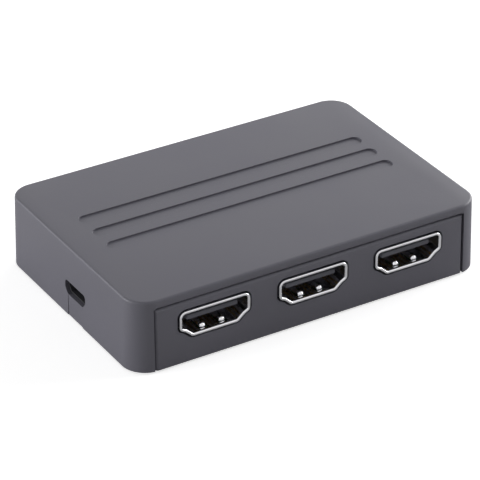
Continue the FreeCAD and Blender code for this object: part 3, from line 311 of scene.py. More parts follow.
@dataclass(frozen=True)
class TrackedLaminate(Finish):
    """Laminate under solder mask: copper tracks stand up a little and look paler.

    track_mm is the distance from track to track, and field_tracks the size of a field of equal
    direction in those steps. turned_share is the share of turned fields, and track_edge the
    part of a wave over which a track's edge rises.
    """

    track_mm: float = 1.27
    field_tracks: float = 6.0
    turned_share: float = 0.5
    track_edge: tuple[float, float] = (0.62, 0.7)

    def tracks(self, tree: NodeTree, place: NodeSocket) -> NodeSocket:
        """Pattern of straight tracks that change direction from field to field.

        Args:
            tree: the material's node tree.
            place: where on the piece it is read.

        Returns:
            1 on a track and 0 beside it.
        """
        fields = add_node(
            tree,
            "ShaderNodeTexVoronoi",
            {"distance": "CHEBYCHEV", "Scale": 1 / mm(self.field_tracks * self.track_mm)},
            {"Vector": place},
        )
        turn = add_node(
            tree,
            "ShaderNodeMath",
            {"operation": "GREATER_THAN", 1: self.turned_share},
            {0: fields.outputs["Color"]},
        )
        lines = []
        for direction in ("X", "Y"):
            wave = add_node(
                tree,
                "ShaderNodeTexWave",
                {"bands_direction": direction, "Scale": WAVE_BAND / mm(self.track_mm)},
                {"Vector": place},
            )
            lines.append(wave.outputs["Fac"])
        mix = add_node(
            tree, "ShaderNodeMix", None, {0: turn.outputs["Value"], 2: lines[0], 3: lines[1]}
        )
        edge = add_node(
            tree,
            "ShaderNodeMapRange",
            {"From Min": self.track_edge[0], "From Max": self.track_edge[1]},
            {"Value": mix.outputs[0]},
        )
        return edge.outputs["Result"]

    def shade_of(self, tree: NodeTree, place: NodeSocket, mottle: NodeSocket) -> NodeSocket:
        """Paler green over the tracks."""
        return self.blend(tree, self.tracks(tree, place))

    def height_of(self, tree: NodeTree, place: NodeSocket) -> NodeSocket:
        """Tracks raised above the laminate."""
        return self.tracks(tree, place)


# Injection-moulded ABS from a spark-eroded mould: satin, slightly cool dark grey.
CASE_ABS = SparkErodedPlastic(
    "moulded_abs_dark_grey", "case_plastic", "#595860", "#605f69", 0.52, relief_mm=0.006
)
# The same ABS in near black, a little smoother where a finger presses it.
BUTTON_ABS = SparkErodedPlastic(
    "moulded_abs_black", "button_plastic", "#2b2b2e", "#333336", 0.35, relief_mm=0.003
)
# Pressed steel strip under bright nickel: mirror-like with faint drawn lines along the socket.
# The lines are drawn wider than real ones, which are too fine to show.
NICKEL_STEEL = Finish(
    "nickel_plated_steel", "socket_steel", "#e4e4e7", "#dadadd", 0.18, metallic=1.0, grain_mm=0.3,
    relief_mm=0.001, stretch=(1.0, 8.0, 1.0), mottle_mm=6.0,
)
# Glass-filled liquid-crystal polymer with faint grey flow marks. Its charcoal is painted light:
# far paler than the polymer's own near black, so the tongues look lit in the shade inside the
# socket mouths. The fibres open its skin, so it shines less than other plastics.
LIT_INSULATOR_LCP = Finish(
    "lcp_charcoal_painted_light", "insulator_plastic", "#55555d", "#5f5f66", 0.6, specular=0.3,
    stretch=(1.0, 3.0, 1.0), mottle_mm=2.0,
)
# A darker copy of the same polymer, as painted shade: the power socket's shell shows deep black
# behind its opening.
SHADED_SHELL_LCP = Finish(
    "lcp_black_painted_shade", "insulator_plastic", "#1d1d20", "#232327", 0.6, specular=0.3,
    stretch=(1.0, 3.0, 1.0), mottle_mm=2.0,
)
# Copper alloy with a thin gold flash: warm and bright.
GOLD_FLASH = Finish(
    "gold_flashed_brass", "contact_brass", "#d9b45c", "#cfa850", 0.25, metallic=1.0,
    relief_mm=0.001, mottle_mm=3.0,
)
# Tinned copper leads: pale and slightly cloudy.
TINNED_COPPER = Finish(
    "tinned_copper", "lead_tin", "#c6c8ca", "#b4b6b9", 0.38, metallic=1.0, relief_mm=0.002,
    mottle_mm=1.5,
)
# Glass-fibre laminate under green solder mask: a glossy film over the copper tracks.
SOLDER_MASK = TrackedLaminate(
    "solder_mask_green", "board_laminate", "#124a28", "#2a7a44", 0.3, coat=0.5, relief_mm=0.035
)
# Transfer-moulded epoxy of chips: near black, finely pitted.
CHIP_EPOXY = SparkErodedPlastic(
    "chip_epoxy_black", "chip_epoxy", "#1d1d1f", "#262628", 0.55, pit_mm=0.2, grain_mm=0.1,
    mottle_mm=4.0,
)
# Deep-drawn steel cans and folded switch plate: grey, lightly brushed along X.
DRAWN_STEEL = Finish(
    "drawn_steel", "component_steel", "#b5b6b8", "#a3a5a8", 0.32, metallic=1.0, grain_mm=0.15,
    relief_mm=0.002, stretch=(10.0, 1.0, 1.0), mottle_mm=3.0,
)
# Drawn aluminium can with a bare satin face.
DRAWN_ALUMINIUM = Finish(
    "drawn_aluminium", "can_aluminium", "#cfd1d3", "#c3c5c8", 0.3, metallic=1.0, grain_mm=0.15,
    relief_mm=0.002, stretch=(1.0, 1.0, 8.0), mottle_mm=3.0,
)
# Fired ceramic chips: tan and dull.
FIRED_CERAMIC = Finish(
    "fired_ceramic", "small_ceramic", "#8d6f4c", "#9c7f5b", 0.6, grain_mm=0.1, mottle_mm=1.5
)
# Cast epoxy lens of a lamp: clear with a milky body.
LAMP_EPOXY = Finish(
    "cast_epoxy_clear", "lamp_epoxy", "#e3e8ea", "#d8dee2", 0.12, transmission=0.6, ior=1.55,
    relief_mm=0.0005, mottle_mm=2.0,
)
# Zinc-plated steel screws: grey with a faint cloudiness.
ZINC_STEEL = Finish(
    "zinc_plated_steel", "screw_steel", "#9a9da1", "#86898e", 0.33, metallic=1.0, relief_mm=0.002,
    mottle_mm=1.0,
)
# Moulded nitrile rubber: very dull black, slightly dusty.
FOOT_RUBBER = Finish(
    "nitrile_rubber_black", "foot_rubber", "#1a1a1b", "#262626", 0.8, grain_mm=0.2, mottle_mm=2.0
)

FINISHES = {
    finish.slot: finish
    for finish in (
        CASE_ABS, BUTTON_ABS, NICKEL_STEEL, LIT_INSULATOR_LCP, GOLD_FLASH, TINNED_COPPER, SOLDER_MASK,
        CHIP_EPOXY, DRAWN_STEEL, DRAWN_ALUMINIUM, FIRED_CERAMIC, LAMP_EPOXY, ZINC_STEEL,
        FOOT_RUBBER,
    )
}


# Mesh tools

POST_SEGMENTS = 48
ROUNDING_SEGMENTS = 5
SOFT_EDGE_SEGMENTS = 2
SHARP_ANGLE = math.radians(32.0)
MERGE_DISTANCE = mm(0.002)
SORTED_DIGITS = 7
FLAT_ANGLE = math.radians(0.2)


def level(axis: int, value: float, verts: Iterable[BMVert]) -> list[BMVert]:
    """Vertices that lie at one value along an axis."""
    return [vert for vert in verts if abs(vert.co[axis] - value) < NEAR]


def move(bm: BMesh, step: Sequence[float]) -> BMesh:
    """Move a whole bmesh, and return it."""
    bmesh.ops.translate(bm, vec=step, verts=bm.verts)
    return bm


def write_mesh(bm: BMesh, mesh: Mesh) -> None:
    """Write a bmesh to a mesh and free it.

    Bevels leave a bmesh in an order that changes from run to run, and so would the cuts made
    after it. So its vertices are sorted by place, and each face starts at its first vertex.

    Args:
        bm: the shape.
        mesh: the mesh that gets it.
    """
    verts = sorted(
        bm.verts, key=lambda vert: tuple(round(value, SORTED_DIGITS) for value in vert.co)
    )
    ranks = {vert: rank for rank, vert in enumerate(verts)}
    faces = []
    for face in bm.faces:
        corners = [ranks[vert] for vert in face.verts]
        first = corners.index(min(corners))
        faces.append(corners[first:] + corners[:first])
    mesh.clear_geometry()
    mesh.from_pydata([vert.co for vert in verts], [], sorted(faces))
    bm.free()


@contextmanager
def editing(piece: Object) -> Iterator[BMesh]:
    """Bmesh of a piece's mesh, which is written back and freed at the end.

    Args:
        piece: the piece to edit.

    Yields:
        The bmesh to change.
    """
    bm = bmesh.new()
    bm.from_mesh(piece.data)
    yield bm
    write_mesh(bm, piece.data)


def round_edges(
    bm: BMesh, edges: Sequence[BMEdge], radius: float, segments: int = ROUNDING_SEGMENTS
) -> None:
    """Round edges of a bmesh.

    Args:
        bm: the shape.
        edges: its edges to round.
        radius: radius of the rounding.
        segments: its steps.
    """
    bmesh.ops.bevel(
        bm, geom=list(edges), offset=radius, segments=segments, profile=0.5, affect="EDGES",
        material=-1,
    )


def extrude_all(bm: BMesh, step: Vector) -> None:
    """Extrude every face of a flat bmesh into a closed solid.

    Args:
        bm: flat shape that becomes the solid.
        step: how far it reaches, and which way.
    """
    made = bmesh.ops.extrude_face_region(bm, geom=bm.faces[:], use_keep_orig=True)
    moved = [item for item in made["geom"] if isinstance(item, BMVert)]
    bmesh.ops.translate(bm, vec=step, verts=moved)


def block(low: Sequence[float], high: Sequence[float]) -> BMesh:
    """Block between two corners.

    Args:
        low: lowest corner.
        high: highest corner.

    Returns:
        A new bmesh.
    """
    bm = bmesh.new()
    bmesh.ops.create_cube(bm, size=1.0)
    bmesh.ops.scale(bm, vec=Vector(high) - Vector(low), verts=bm.verts)
    return move(bm, (Vector(low) + Vector(high)) / 2)


def round_uprights(bm: BMesh, radius: float, segments: int) -> None:
    """Round the upright edges of a block.

    Args:
        bm: the block.
        radius: radius of its corners.
        segments: steps of their rounding.
    """
    uprights = [
        edge for edge in bm.edges if (edge.verts[0].co - edge.verts[1].co).xy.length < NEAR
    ]
    round_edges(bm, uprights, radius, segments)


def draw_in_top(bm: BMesh, radius: float, inset: float) -> None:
    """Lean the walls of a rounded block inwards, keeping the corners' centres.

    Args:
        bm: block that is centred on the upright axis.
        radius: radius of its upright corners.
        inset: how far the top's outline lies inside the foot's.
    """
    top = max(vert.co.z for vert in bm.verts)
    reach_x = max(vert.co.x for vert in bm.verts) - radius
    reach_y = max(vert.co.y for vert in bm.verts) - radius
    for vert in level(2, top, bm.verts):
        centre = Vector((
            max(-reach_x, min(reach_x, vert.co.x)),
            max(-reach_y, min(reach_y, vert.co.y)),
            top,
        ))
        vert.co = centre + (vert.co - centre) * (radius - inset) / radius


def post(radius: float, foot: Sequence[float], height: float) -> BMesh:
    """Upright cylinder.

    Args:
        radius: its radius.
        foot: middle of its lower end.
        height: its height.

    Returns:
        A new bmesh.
    """
    bm = bmesh.new()
    bmesh.ops.create_cone(
        bm, cap_ends=True, segments=POST_SEGMENTS, radius1=radius, radius2=radius, depth=height
    )
    return move(bm, Vector(foot) + Vector((0, 0, height / 2)))


def rod(radius: float, end: Sequence[float], length: float) -> BMesh:
    """Cylinder along Y.

    Args:
        radius: its radius.
        end: middle of its end.
        length: how far it reaches along +Y.

    Returns:
        A new bmesh.
    """
    bm = post(radius, (0, 0, 0), length)
    bmesh.ops.rotate(bm, matrix=Matrix.Rotation(-math.pi / 2, 3, "X"), verts=bm.verts)
    return move(bm, end)


def turned(
    profile: Sequence[tuple[float, float]], middle: Vector, steps: int, upright: bool = False
) -> BMesh:
    """Round shape that a profile sweeps about an axis.

    Args:
        profile: (distance from the axis, place along the axis) of each point.
        middle: point that the axis passes through; the part of it along the axis isn't used.
        steps: steps of the full turn.
        upright: True for an axis along Z, False for one along Y.

    Returns:
        A new closed bmesh.
    """
    bm = bmesh.new()
    axis = Vector((0, 0, 1)) if upright else Vector((0, 1, 0))
    base = middle - axis * middle.dot(axis)
    verts = [bm.verts.new(base + axis * along + Vector((away, 0, 0))) for away, along in profile]
    edges = [bm.edges.new(pair) for pair in zip(verts, verts[1:])]
    bmesh.ops.spin(
        bm, geom=verts + edges, cent=base, axis=axis, angle=math.tau, steps=steps, use_merge=True
    )
    bmesh.ops.remove_doubles(bm, verts=bm.verts, dist=NEAR)
    return bm


def arc(
    centre: tuple[float, float], radius: float, start: float, end: float, steps: int
) -> list[tuple[float, float]]:
    """Points of a profile along an arc.

    Args:
        centre: the arc's centre.
        radius: its radius.
        start: angle of the first point, in degrees.
        end: angle of the last point, in degrees.
        steps: parts between the points.

    Returns:
        The points in order.
    """
    points = []
    for step in range(steps + 1):
        angle = math.radians(start + (end - start) * step / steps)
        points.append((centre[0] + radius * math.cos(angle), centre[1] + radius * math.sin(angle)))
    return points


def make_object(name: str, bm: BMesh, turn_out: bool = True) -> Object:
    """Object at the origin from a bmesh, which is freed.

    Args:
        name: the object's name.
        bm: its shape.
        turn_out: whether its faces are turned to point outwards.

    Returns:
        The new object, in the scene.
    """
    if turn_out:
        bmesh.ops.recalc_face_normals(bm, faces=bm.faces)
    mesh = bpy.data.meshes.new(name)
    write_mesh(bm, mesh)
    piece = bpy.data.objects.new(name, mesh)
    bpy.context.scene.collection.objects.link(piece)
    return piece


def combine(piece: Object, tools: Sequence[BMesh], operation: str = "DIFFERENCE") -> None:
    """Cut tools out of a piece, or join them to it, and keep the result as its mesh.

    Args:
        piece: object to change.
        tools: closed shapes, freed here.
        operation: a boolean operation's name.
    """
    helpers = []
    for tool in tools:
        helper = make_object("tool", tool)
        helpers.append(helper)
        modifier = piece.modifiers.new("combine", "BOOLEAN")
        modifier.object = helper
        modifier.operation = operation
        modifier.solver = "EXACT"
    depsgraph = bpy.context.evaluated_depsgraph_get()
    result = bpy.data.meshes.new_from_object(piece.evaluated_get(depsgraph))
    piece.modifiers.clear()
    old = piece.data
    piece.data = result
    bpy.data.meshes.remove(old)
    result.name = piece.name
    for helper in helpers:
        mesh = helper.data
        bpy.data.objects.remove(helper)
        bpy.data.meshes.remove(mesh)


def simplify(bm: BMesh, angle: float = FLAT_ANGLE, cuts: Iterable[float] = ()) -> None:
    """Merge doubled vertices and dissolve the needless edges of flat faces.

    Args:
        bm: shape to simplify.
        angle: faces that meet at less than this become one.
        cuts: places along X where the faces stay divided, so that no face goes round a hole.
    """
    bmesh.ops.remove_doubles(bm, verts=bm.verts, dist=MERGE_DISTANCE)
    for place in sorted(set(cuts)):
        made = bmesh.ops.bisect_plane(
            bm, geom=bm.verts[:] + bm.edges[:] + bm.faces[:], dist=NEAR, plane_co=(place, 0, 0),
            plane_no=(1, 0, 0),
        )
        for item in made["geom_cut"]:
            if isinstance(item, BMEdge):
                item.seam = True
    bmesh.ops.dissolve_limit(
        bm, angle_limit=angle, use_dissolve_boundaries=False, verts=bm.verts, edges=bm.edges,
        delimit={"NORMAL", "SEAM"},
    )


def finish_piece(
    piece: Object,
    finish: Finish,
    nodes: Sequence[str],
    edge: float,
    body: Body = Body.CASE,
    segments: int = SOFT_EDGE_SEGMENTS,
) -> Object:
    """Soften a piece's edges, give it its material and body, and hide the CAD nodes that it
    replaces.

    Args:
        piece: the modelled piece.
        finish: its material.
        nodes: CAD nodes that it replaces.
        edge: radius of its softened edges.
        body: the body that it rides on.
        segments: steps of that rounding.

    Returns:
        The finished piece.
    """
    mesh = piece.data
    mesh.polygons.foreach_set("use_smooth", [True] * len(mesh.polygons))
    mesh.set_sharp_from_angle(angle=SHARP_ANGLE)
    bevel = piece.modifiers.new("soft_edges", "BEVEL")
    bevel.width = edge
    bevel.segments = segments
    bevel.profile = 0.5
    bevel.limit_method = "ANGLE"
    bevel.angle_limit = SHARP_ANGLE
    bevel.miter_outer = "MITER_ARC"
    bevel.harden_normals = True
    mesh.materials.clear()
    mesh.materials.append(finish.build())
    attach(piece, body.value)
    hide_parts(*nodes)
    LOG.info("%s: %d faces, replaces %s", piece.name, len(mesh.polygons), ", ".join(nodes))
    return piece


def middle_of(node: str) -> Vector:
    """Middle of a CAD node's box.

    Args:
        node: the node's name.

    Returns:
        The middle.
    """
    low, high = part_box(node)
    return (low + high) / 2


# Sockets


@dataclass(frozen=True)
class Lip:
    """Edge of a socket's mouth: how far it flares outwards, how deep, and its rounding."""

    flare: float
    depth: float
    outer_radius: float
    inner_radius: float


@dataclass(frozen=True)
class Outline:
    """Outline of a socket's cavity in the plane of its mouth.

    corners are the (x, z) corners of its right half from the top down, and radii are their
    rounding, all in millimetres from the cavity's middle. segments are the steps of each
    rounded corner, lip_segments those round the mouth's edges, and corner_angle is the least
    angle at which two faces meet in such an edge.
    """

    corners: tuple[tuple[float, float], ...]
    radii: tuple[float, ...]
    segments: int = 6
    least_radius: float = mm(0.05)
    lip_segments: int = 4
    corner_angle: float = math.radians(60)

    def top(self) -> float:
        """Height of the cavity's roof above its middle."""
        return mm(self.corners[0][1])

    def half_width(self) -> float:
        """Half of the cavity's width."""
        return mm(self.corners[0][0])

    def grown(self, growth: float) -> list[tuple[Vector, float]]:
        """Corners of the outline at a distance.

        Args:
            growth: how far the outline moves outwards.

        Returns:
            Place and radius of each corner, in order.
        """
        right = [Vector((mm(x), 0, mm(z))) for x, z in self.corners]
        places = right + [Vector((-place.x, 0, place.z)) for place in reversed(right)]
        radii = self.radii + self.radii[::-1]
        moved = []
        for index, place in enumerate(places):
            before = (places[index - 1] - place).normalized()
            after = (places[(index + 1) % len(places)] - place).normalized()
            side = 1 if before.cross(after).y < 0 else -1
            outward = -side * (before + after).normalized()
            reach = growth / math.sin(before.angle(after) / 2)
            radius = max(self.least_radius, mm(radii[index]) + growth * side)
            moved.append((place + outward * reach, radius))
        return moved

    def face(self, growth: float) -> BMesh:
        """Flat face with the outline's rounded corners.

        Args:
            growth: how far the outline moves outwards.

        Returns:
            A new bmesh of one face at y 0.
        """
        bm = bmesh.new()
        corners = self.grown(growth)
        bm.faces.new([bm.verts.new(place) for place, radius in corners])
        for place, radius in corners:
            corner = min(bm.verts, key=lambda vert: (vert.co - place).length)
            first, second = [
                (edge.other_vert(corner).co - corner.co).normalized() for edge in corner.link_edges
            ]
            bmesh.ops.bevel(
                bm, geom=[corner], offset=radius / math.tan(first.angle(second) / 2),
                segments=self.segments, profile=0.5, affect="VERTICES", material=-1,
            )
        return bm

    def prism(self, growth: float, start: float, end: float) -> BMesh:
        """Solid of the outline.

        Args:
            growth: how far the outline moves outwards.
            start: y of one end.
            end: y of the other end.

        Returns:
            A new bmesh.
        """
        bm = move(self.face(growth), (0, start, 0))
        extrude_all(bm, Vector((0, end - start, 0)))
        return bm

    def tube(self, wall: float, depth: float, lip: Lip) -> BMesh:
        """Open tube round the cavity, with a flared mouth.

        Args:
            wall: thickness of the tube.
            depth: its length.
            lip: edge of its mouth.

        Returns:
            A new bmesh, with the mouth at y 0.
        """
        outer = wall + lip.flare
        stations = [(0.0, 0.0), (outer, 0.0)]
        if lip.flare:
            stations += [(outer, lip.depth), (wall, lip.depth + lip.flare)]
        stations += [(wall, depth), (0.0, depth)]
        bm = bmesh.new()
        loops = []
        for growth, place in stations:
            ring = move(self.face(growth), (0, place, 0))
            mesh = bpy.data.meshes.new("ring")
            ring.to_mesh(mesh)
            ring.free()
            count = len(bm.edges)
            bm.from_mesh(mesh)
            bpy.data.meshes.remove(mesh)
            bm.edges.ensure_lookup_table()
            loops.append(bm.edges[count:])
        bmesh.ops.delete(bm, geom=bm.faces[:], context="FACES_ONLY")
        for first, second in zip(loops, loops[1:] + loops[:1]):
            bmesh.ops.bridge_loops(bm, edges=first + second)
        bmesh.ops.recalc_face_normals(bm, faces=bm.faces)
        for side, radius in ((1, lip.outer_radius), (-1, lip.inner_radius)):
            round_edges(bm, self.mouth_edges(bm, side), radius, self.lip_segments)
        return bm

    def mouth_edges(self, bm: BMesh, side: int) -> list[BMEdge]:
        """Edges round a tube's mouth.

        Args:
            bm: the tube.
            side: 1 for the outer edges and -1 for the inner ones.

        Returns:
            The edges.
        """
        found = []
        for edge in bm.edges:
            angle = edge.calc_face_angle(0.0)
            if len(level(1, 0.0, edge.verts)) < 2 or angle < self.corner_angle:
                continue
            middle = (edge.verts[0].co + edge.verts[1].co) / 2
            wall = min(edge.link_faces, key=lambda face: abs(face.normal.y))
            if side * wall.normal.dot(middle) > 0:
                found.append(edge)
        return found


VIDEO_OUTLINE = Outline(
    corners=((7.0, 2.275), (7.0, -0.575), (6.05, -1.075), (4.7, -2.275)),
    radii=(0.75, 0.3, 0.5, 0.35),
)
POWER_OUTLINE = Outline(
    corners=((3.45, 0.95), (3.45, -0.05), (2.7, -0.95)),
    radii=(0.3, 0.2, 0.3),
)


@dataclass(frozen=True)
class Mouth:
    """Place of a socket's mouth: the middle of its cavity, and which way it looks."""

    place: Vector
    facing: Facing

    def put(self, bm: BMesh) -> BMesh:
        """Turn and move a shape into its place.

        Args:
            bm: shape that was drawn facing -Y at the origin.

        Returns:
            The same bmesh.
        """
        turn = Matrix.Rotation(self.facing.value, 4, "Z")
        bmesh.ops.transform(bm, matrix=Matrix.Translation(self.place) @ turn, verts=bm.verts)
        return bm


@dataclass
class Socket:
    """A socket's shell: tube, legs and what is cut in it or joined to it.

    leg_places are depths behind the mouth, and leg_top and leg_bottom heights from the
    cavity's middle. Faces that meet at less than flat_angle are made one.
    """

    name: str
    node: str
    facing: Facing
    outline: Outline
    wall: float
    depth: float
    lip: Lip
    leg_places: tuple[float, ...]
    leg_width: float
    leg_top: float
    leg_bottom: float
    finish: Finish = NICKEL_STEEL
    edge: float = mm(0.04)
    flat_angle: float = math.radians(0.05)

    def mouth(self) -> Mouth:
        """Mouth of the socket, found from its node's box.

        Returns:
            Middle of its cavity's mouth, and which way it looks.
        """
        low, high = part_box(self.node)
        place = (low + high) / 2
        place.z = high.z - self.wall - self.outline.top()
        if self.facing is Facing.FRONT:
            place.y = low.y
        elif self.facing is Facing.REAR:
            place.y = high.y
        else:
            place.x = low.x
        return Mouth(place, self.facing)

    def window(self, gap: float, start: float, end: float) -> BMesh:
        """Cutter for the opening that shows the socket, between two depths."""
        return self.mouth().put(self.outline.prism(self.wall + gap, start, end))

    def legs(self) -> list[BMesh]:
        """Legs that go through the circuit board.

        Returns:
            Their shapes, two at each place.
        """
        outer = self.outline.half_width() + self.wall
        shapes = []
        for place in self.leg_places:
            for side in (-1, 1):
                near, far = sorted((side * (outer - self.wall), side * outer))
                half = self.leg_width / 2
                shapes.append(block(
                    (near, place - half, self.leg_bottom), (far, place + half, self.leg_top)
                ))
        return shapes

    def cuts(self) -> list[BMesh]:
        """Openings cut in the shell."""
        return []

    def additions(self) -> list[BMesh]:
        """Pieces of strip joined to the shell."""
        return self.legs()

    def build(self) -> Object:
        """Model the shell and dress it.

        Returns:
            The finished piece.
        """
        piece = make_object(self.name, self.outline.tube(self.wall, self.depth, self.lip))
        cuts = self.cuts()
        if cuts:
            combine(piece, cuts)
        combine(piece, self.additions(), "UNION")
        with editing(piece) as bm:
            simplify(bm, self.flat_angle)
            self.mouth().put(bm)
        return finish_piece(piece, self.finish, [self.node], self.edge)


@dataclass
class VideoSocket(Socket):
    """Pressed steel shell of a video socket, with two spring fingers above and two below."""

    outline: Outline = VIDEO_OUTLINE
    wall: float = mm(0.5)
    depth: float = mm(11.2)
    lip: Lip = Lip(mm(0.1), mm(0.4), mm(0.2), mm(0.3))
    leg_places: tuple[float, ...] = (mm(3.8), mm(8.6))
    leg_width: float = mm(1.8)
    leg_top: float = mm(0.4)
    leg_bottom: float = mm(-5.5)
    finger_spacing: float = mm(4.2)
    finger_width: float = mm(1.3)
    finger_slot: float = mm(0.25)
    finger_start: float = mm(0.9)
    finger_root: float = mm(6.2)
    finger_bump: float = mm(1.9)
    finger_rise: float = mm(0.1)
    finger_sheet: float = mm(0.3)
    finger_bend: float = mm(0.45)
    dimple_radius: float = mm(0.68)
    dimple_depth: float = mm(1.7)
    dimple_sink: float = mm(0.18)
    dimple_segments: tuple[int, int] = (24, 16)

    def finger_places(self) -> list[tuple[float, int]]:
        """Place along X and side of each finger."""
        return [(end * self.finger_spacing / 2, side) for side in (-1, 1) for end in (-1, 1)]

    def cuts(self) -> list[BMesh]:
        """Slots round the fingers.

        Returns:
            A cutter for each finger.
        """
        shapes = []
        half = self.finger_width / 2 + self.finger_slot
        for x, side in self.finger_places():
            inner = self.outline.top()
            near, far = sorted((side * (inner - self.wall), side * (inner + 3 * self.wall)))
            shapes.append(block(
                (x - half, self.finger_start, near), (x + half, self.finger_root, far)
            ))
        return shapes

    def finger(self, x: float, side: int) -> BMesh:
        """Bent spring finger in the top or bottom wall.

        Args:
            x: its middle along X.
            side: 1 for the top wall and -1 for the bottom wall.

        Returns:
            A new bmesh.
        """
        inner = self.outline.top()
        sheet = self.finger_sheet
        root = inner + self.wall - sheet
        tip = self.finger_start + self.finger_slot
        profile = [
            (self.finger_root + sheet, root + sheet),
            (self.finger_bump, inner - self.finger_rise + sheet),
            (tip, inner + sheet / 2),
            (tip, inner - sheet / 2),
            (self.finger_bump, inner - self.finger_rise),
            (self.finger_root + sheet, root),
        ]
        bm = bmesh.new()
        left = x - self.finger_width / 2
        bm.faces.new([bm.verts.new((left, y, side * z)) for y, z in profile])
        extrude_all(bm, Vector((self.finger_width, 0, 0)))
        bend = [
            edge for edge in bm.edges
            if len(level(1, self.finger_bump, edge.verts)) == 2
            and abs(edge.verts[0].co.x - edge.verts[1].co.x) > NEAR
        ]
        round_edges(bm, bend, self.finger_bend)
        return bm

    def dimple(self, x: float, side: int) -> BMesh:
        """Round dimple pressed in a finger, where it touches the plug.

        Args:
            x: the finger's middle along X.
            side: 1 for the top wall and -1 for the bottom.

        Returns:
            A new bmesh.
        """
        bm = bmesh.new()
        around, down = self.dimple_segments
        bmesh.ops.create_uvsphere(
            bm, u_segments=around, v_segments=down, radius=self.dimple_radius
        )
        height = side * (self.outline.top() - self.dimple_sink)
        return move(bm, (x, self.dimple_depth, height))

    def additions(self) -> list[BMesh]:
        """Legs, fingers and their dimples.

        Returns:
            Their shapes.
        """
        places = self.finger_places()
        fingers = [self.finger(x, side) for x, side in places]
        return self.legs() + fingers + [self.dimple(x, side) for x, side in places]


@dataclass
class PowerSocket(Socket):
    """Moulded shell of the small power socket behind the left wall."""

    outline: Outline = POWER_OUTLINE
    wall: float = mm(0.3)
    depth: float = mm(6.0)
    lip: Lip = Lip(0.0, 0.0, mm(0.1), mm(0.1))
    leg_places: tuple[float, ...] = (mm(2.6), mm(4.6))
    leg_width: float = mm(1.0)
    leg_top: float = mm(0.3)
    leg_bottom: float = mm(-3.5)
    # Darker copy of the insulator polymer: painted shade for the deep black behind the power
    # opening.
    finish: Finish = SHADED_SHELL_LCP


INPUTS = [
    VideoSocket(f"input_{number}_rim", f"video_in_{number}_shell", Facing.FRONT)
    for number in INPUT_NUMBERS
]
OUTPUT = VideoSocket("output_rim", "video_out_shell", Facing.REAR)
POWER = PowerSocket("power_rim", "power_socket_shell", Facing.LEFT)


# Case

DRAFT_MM = 0.3
CASE_HEIGHT_MM = 15.0
PANEL_HEIGHT_MM = 12.85


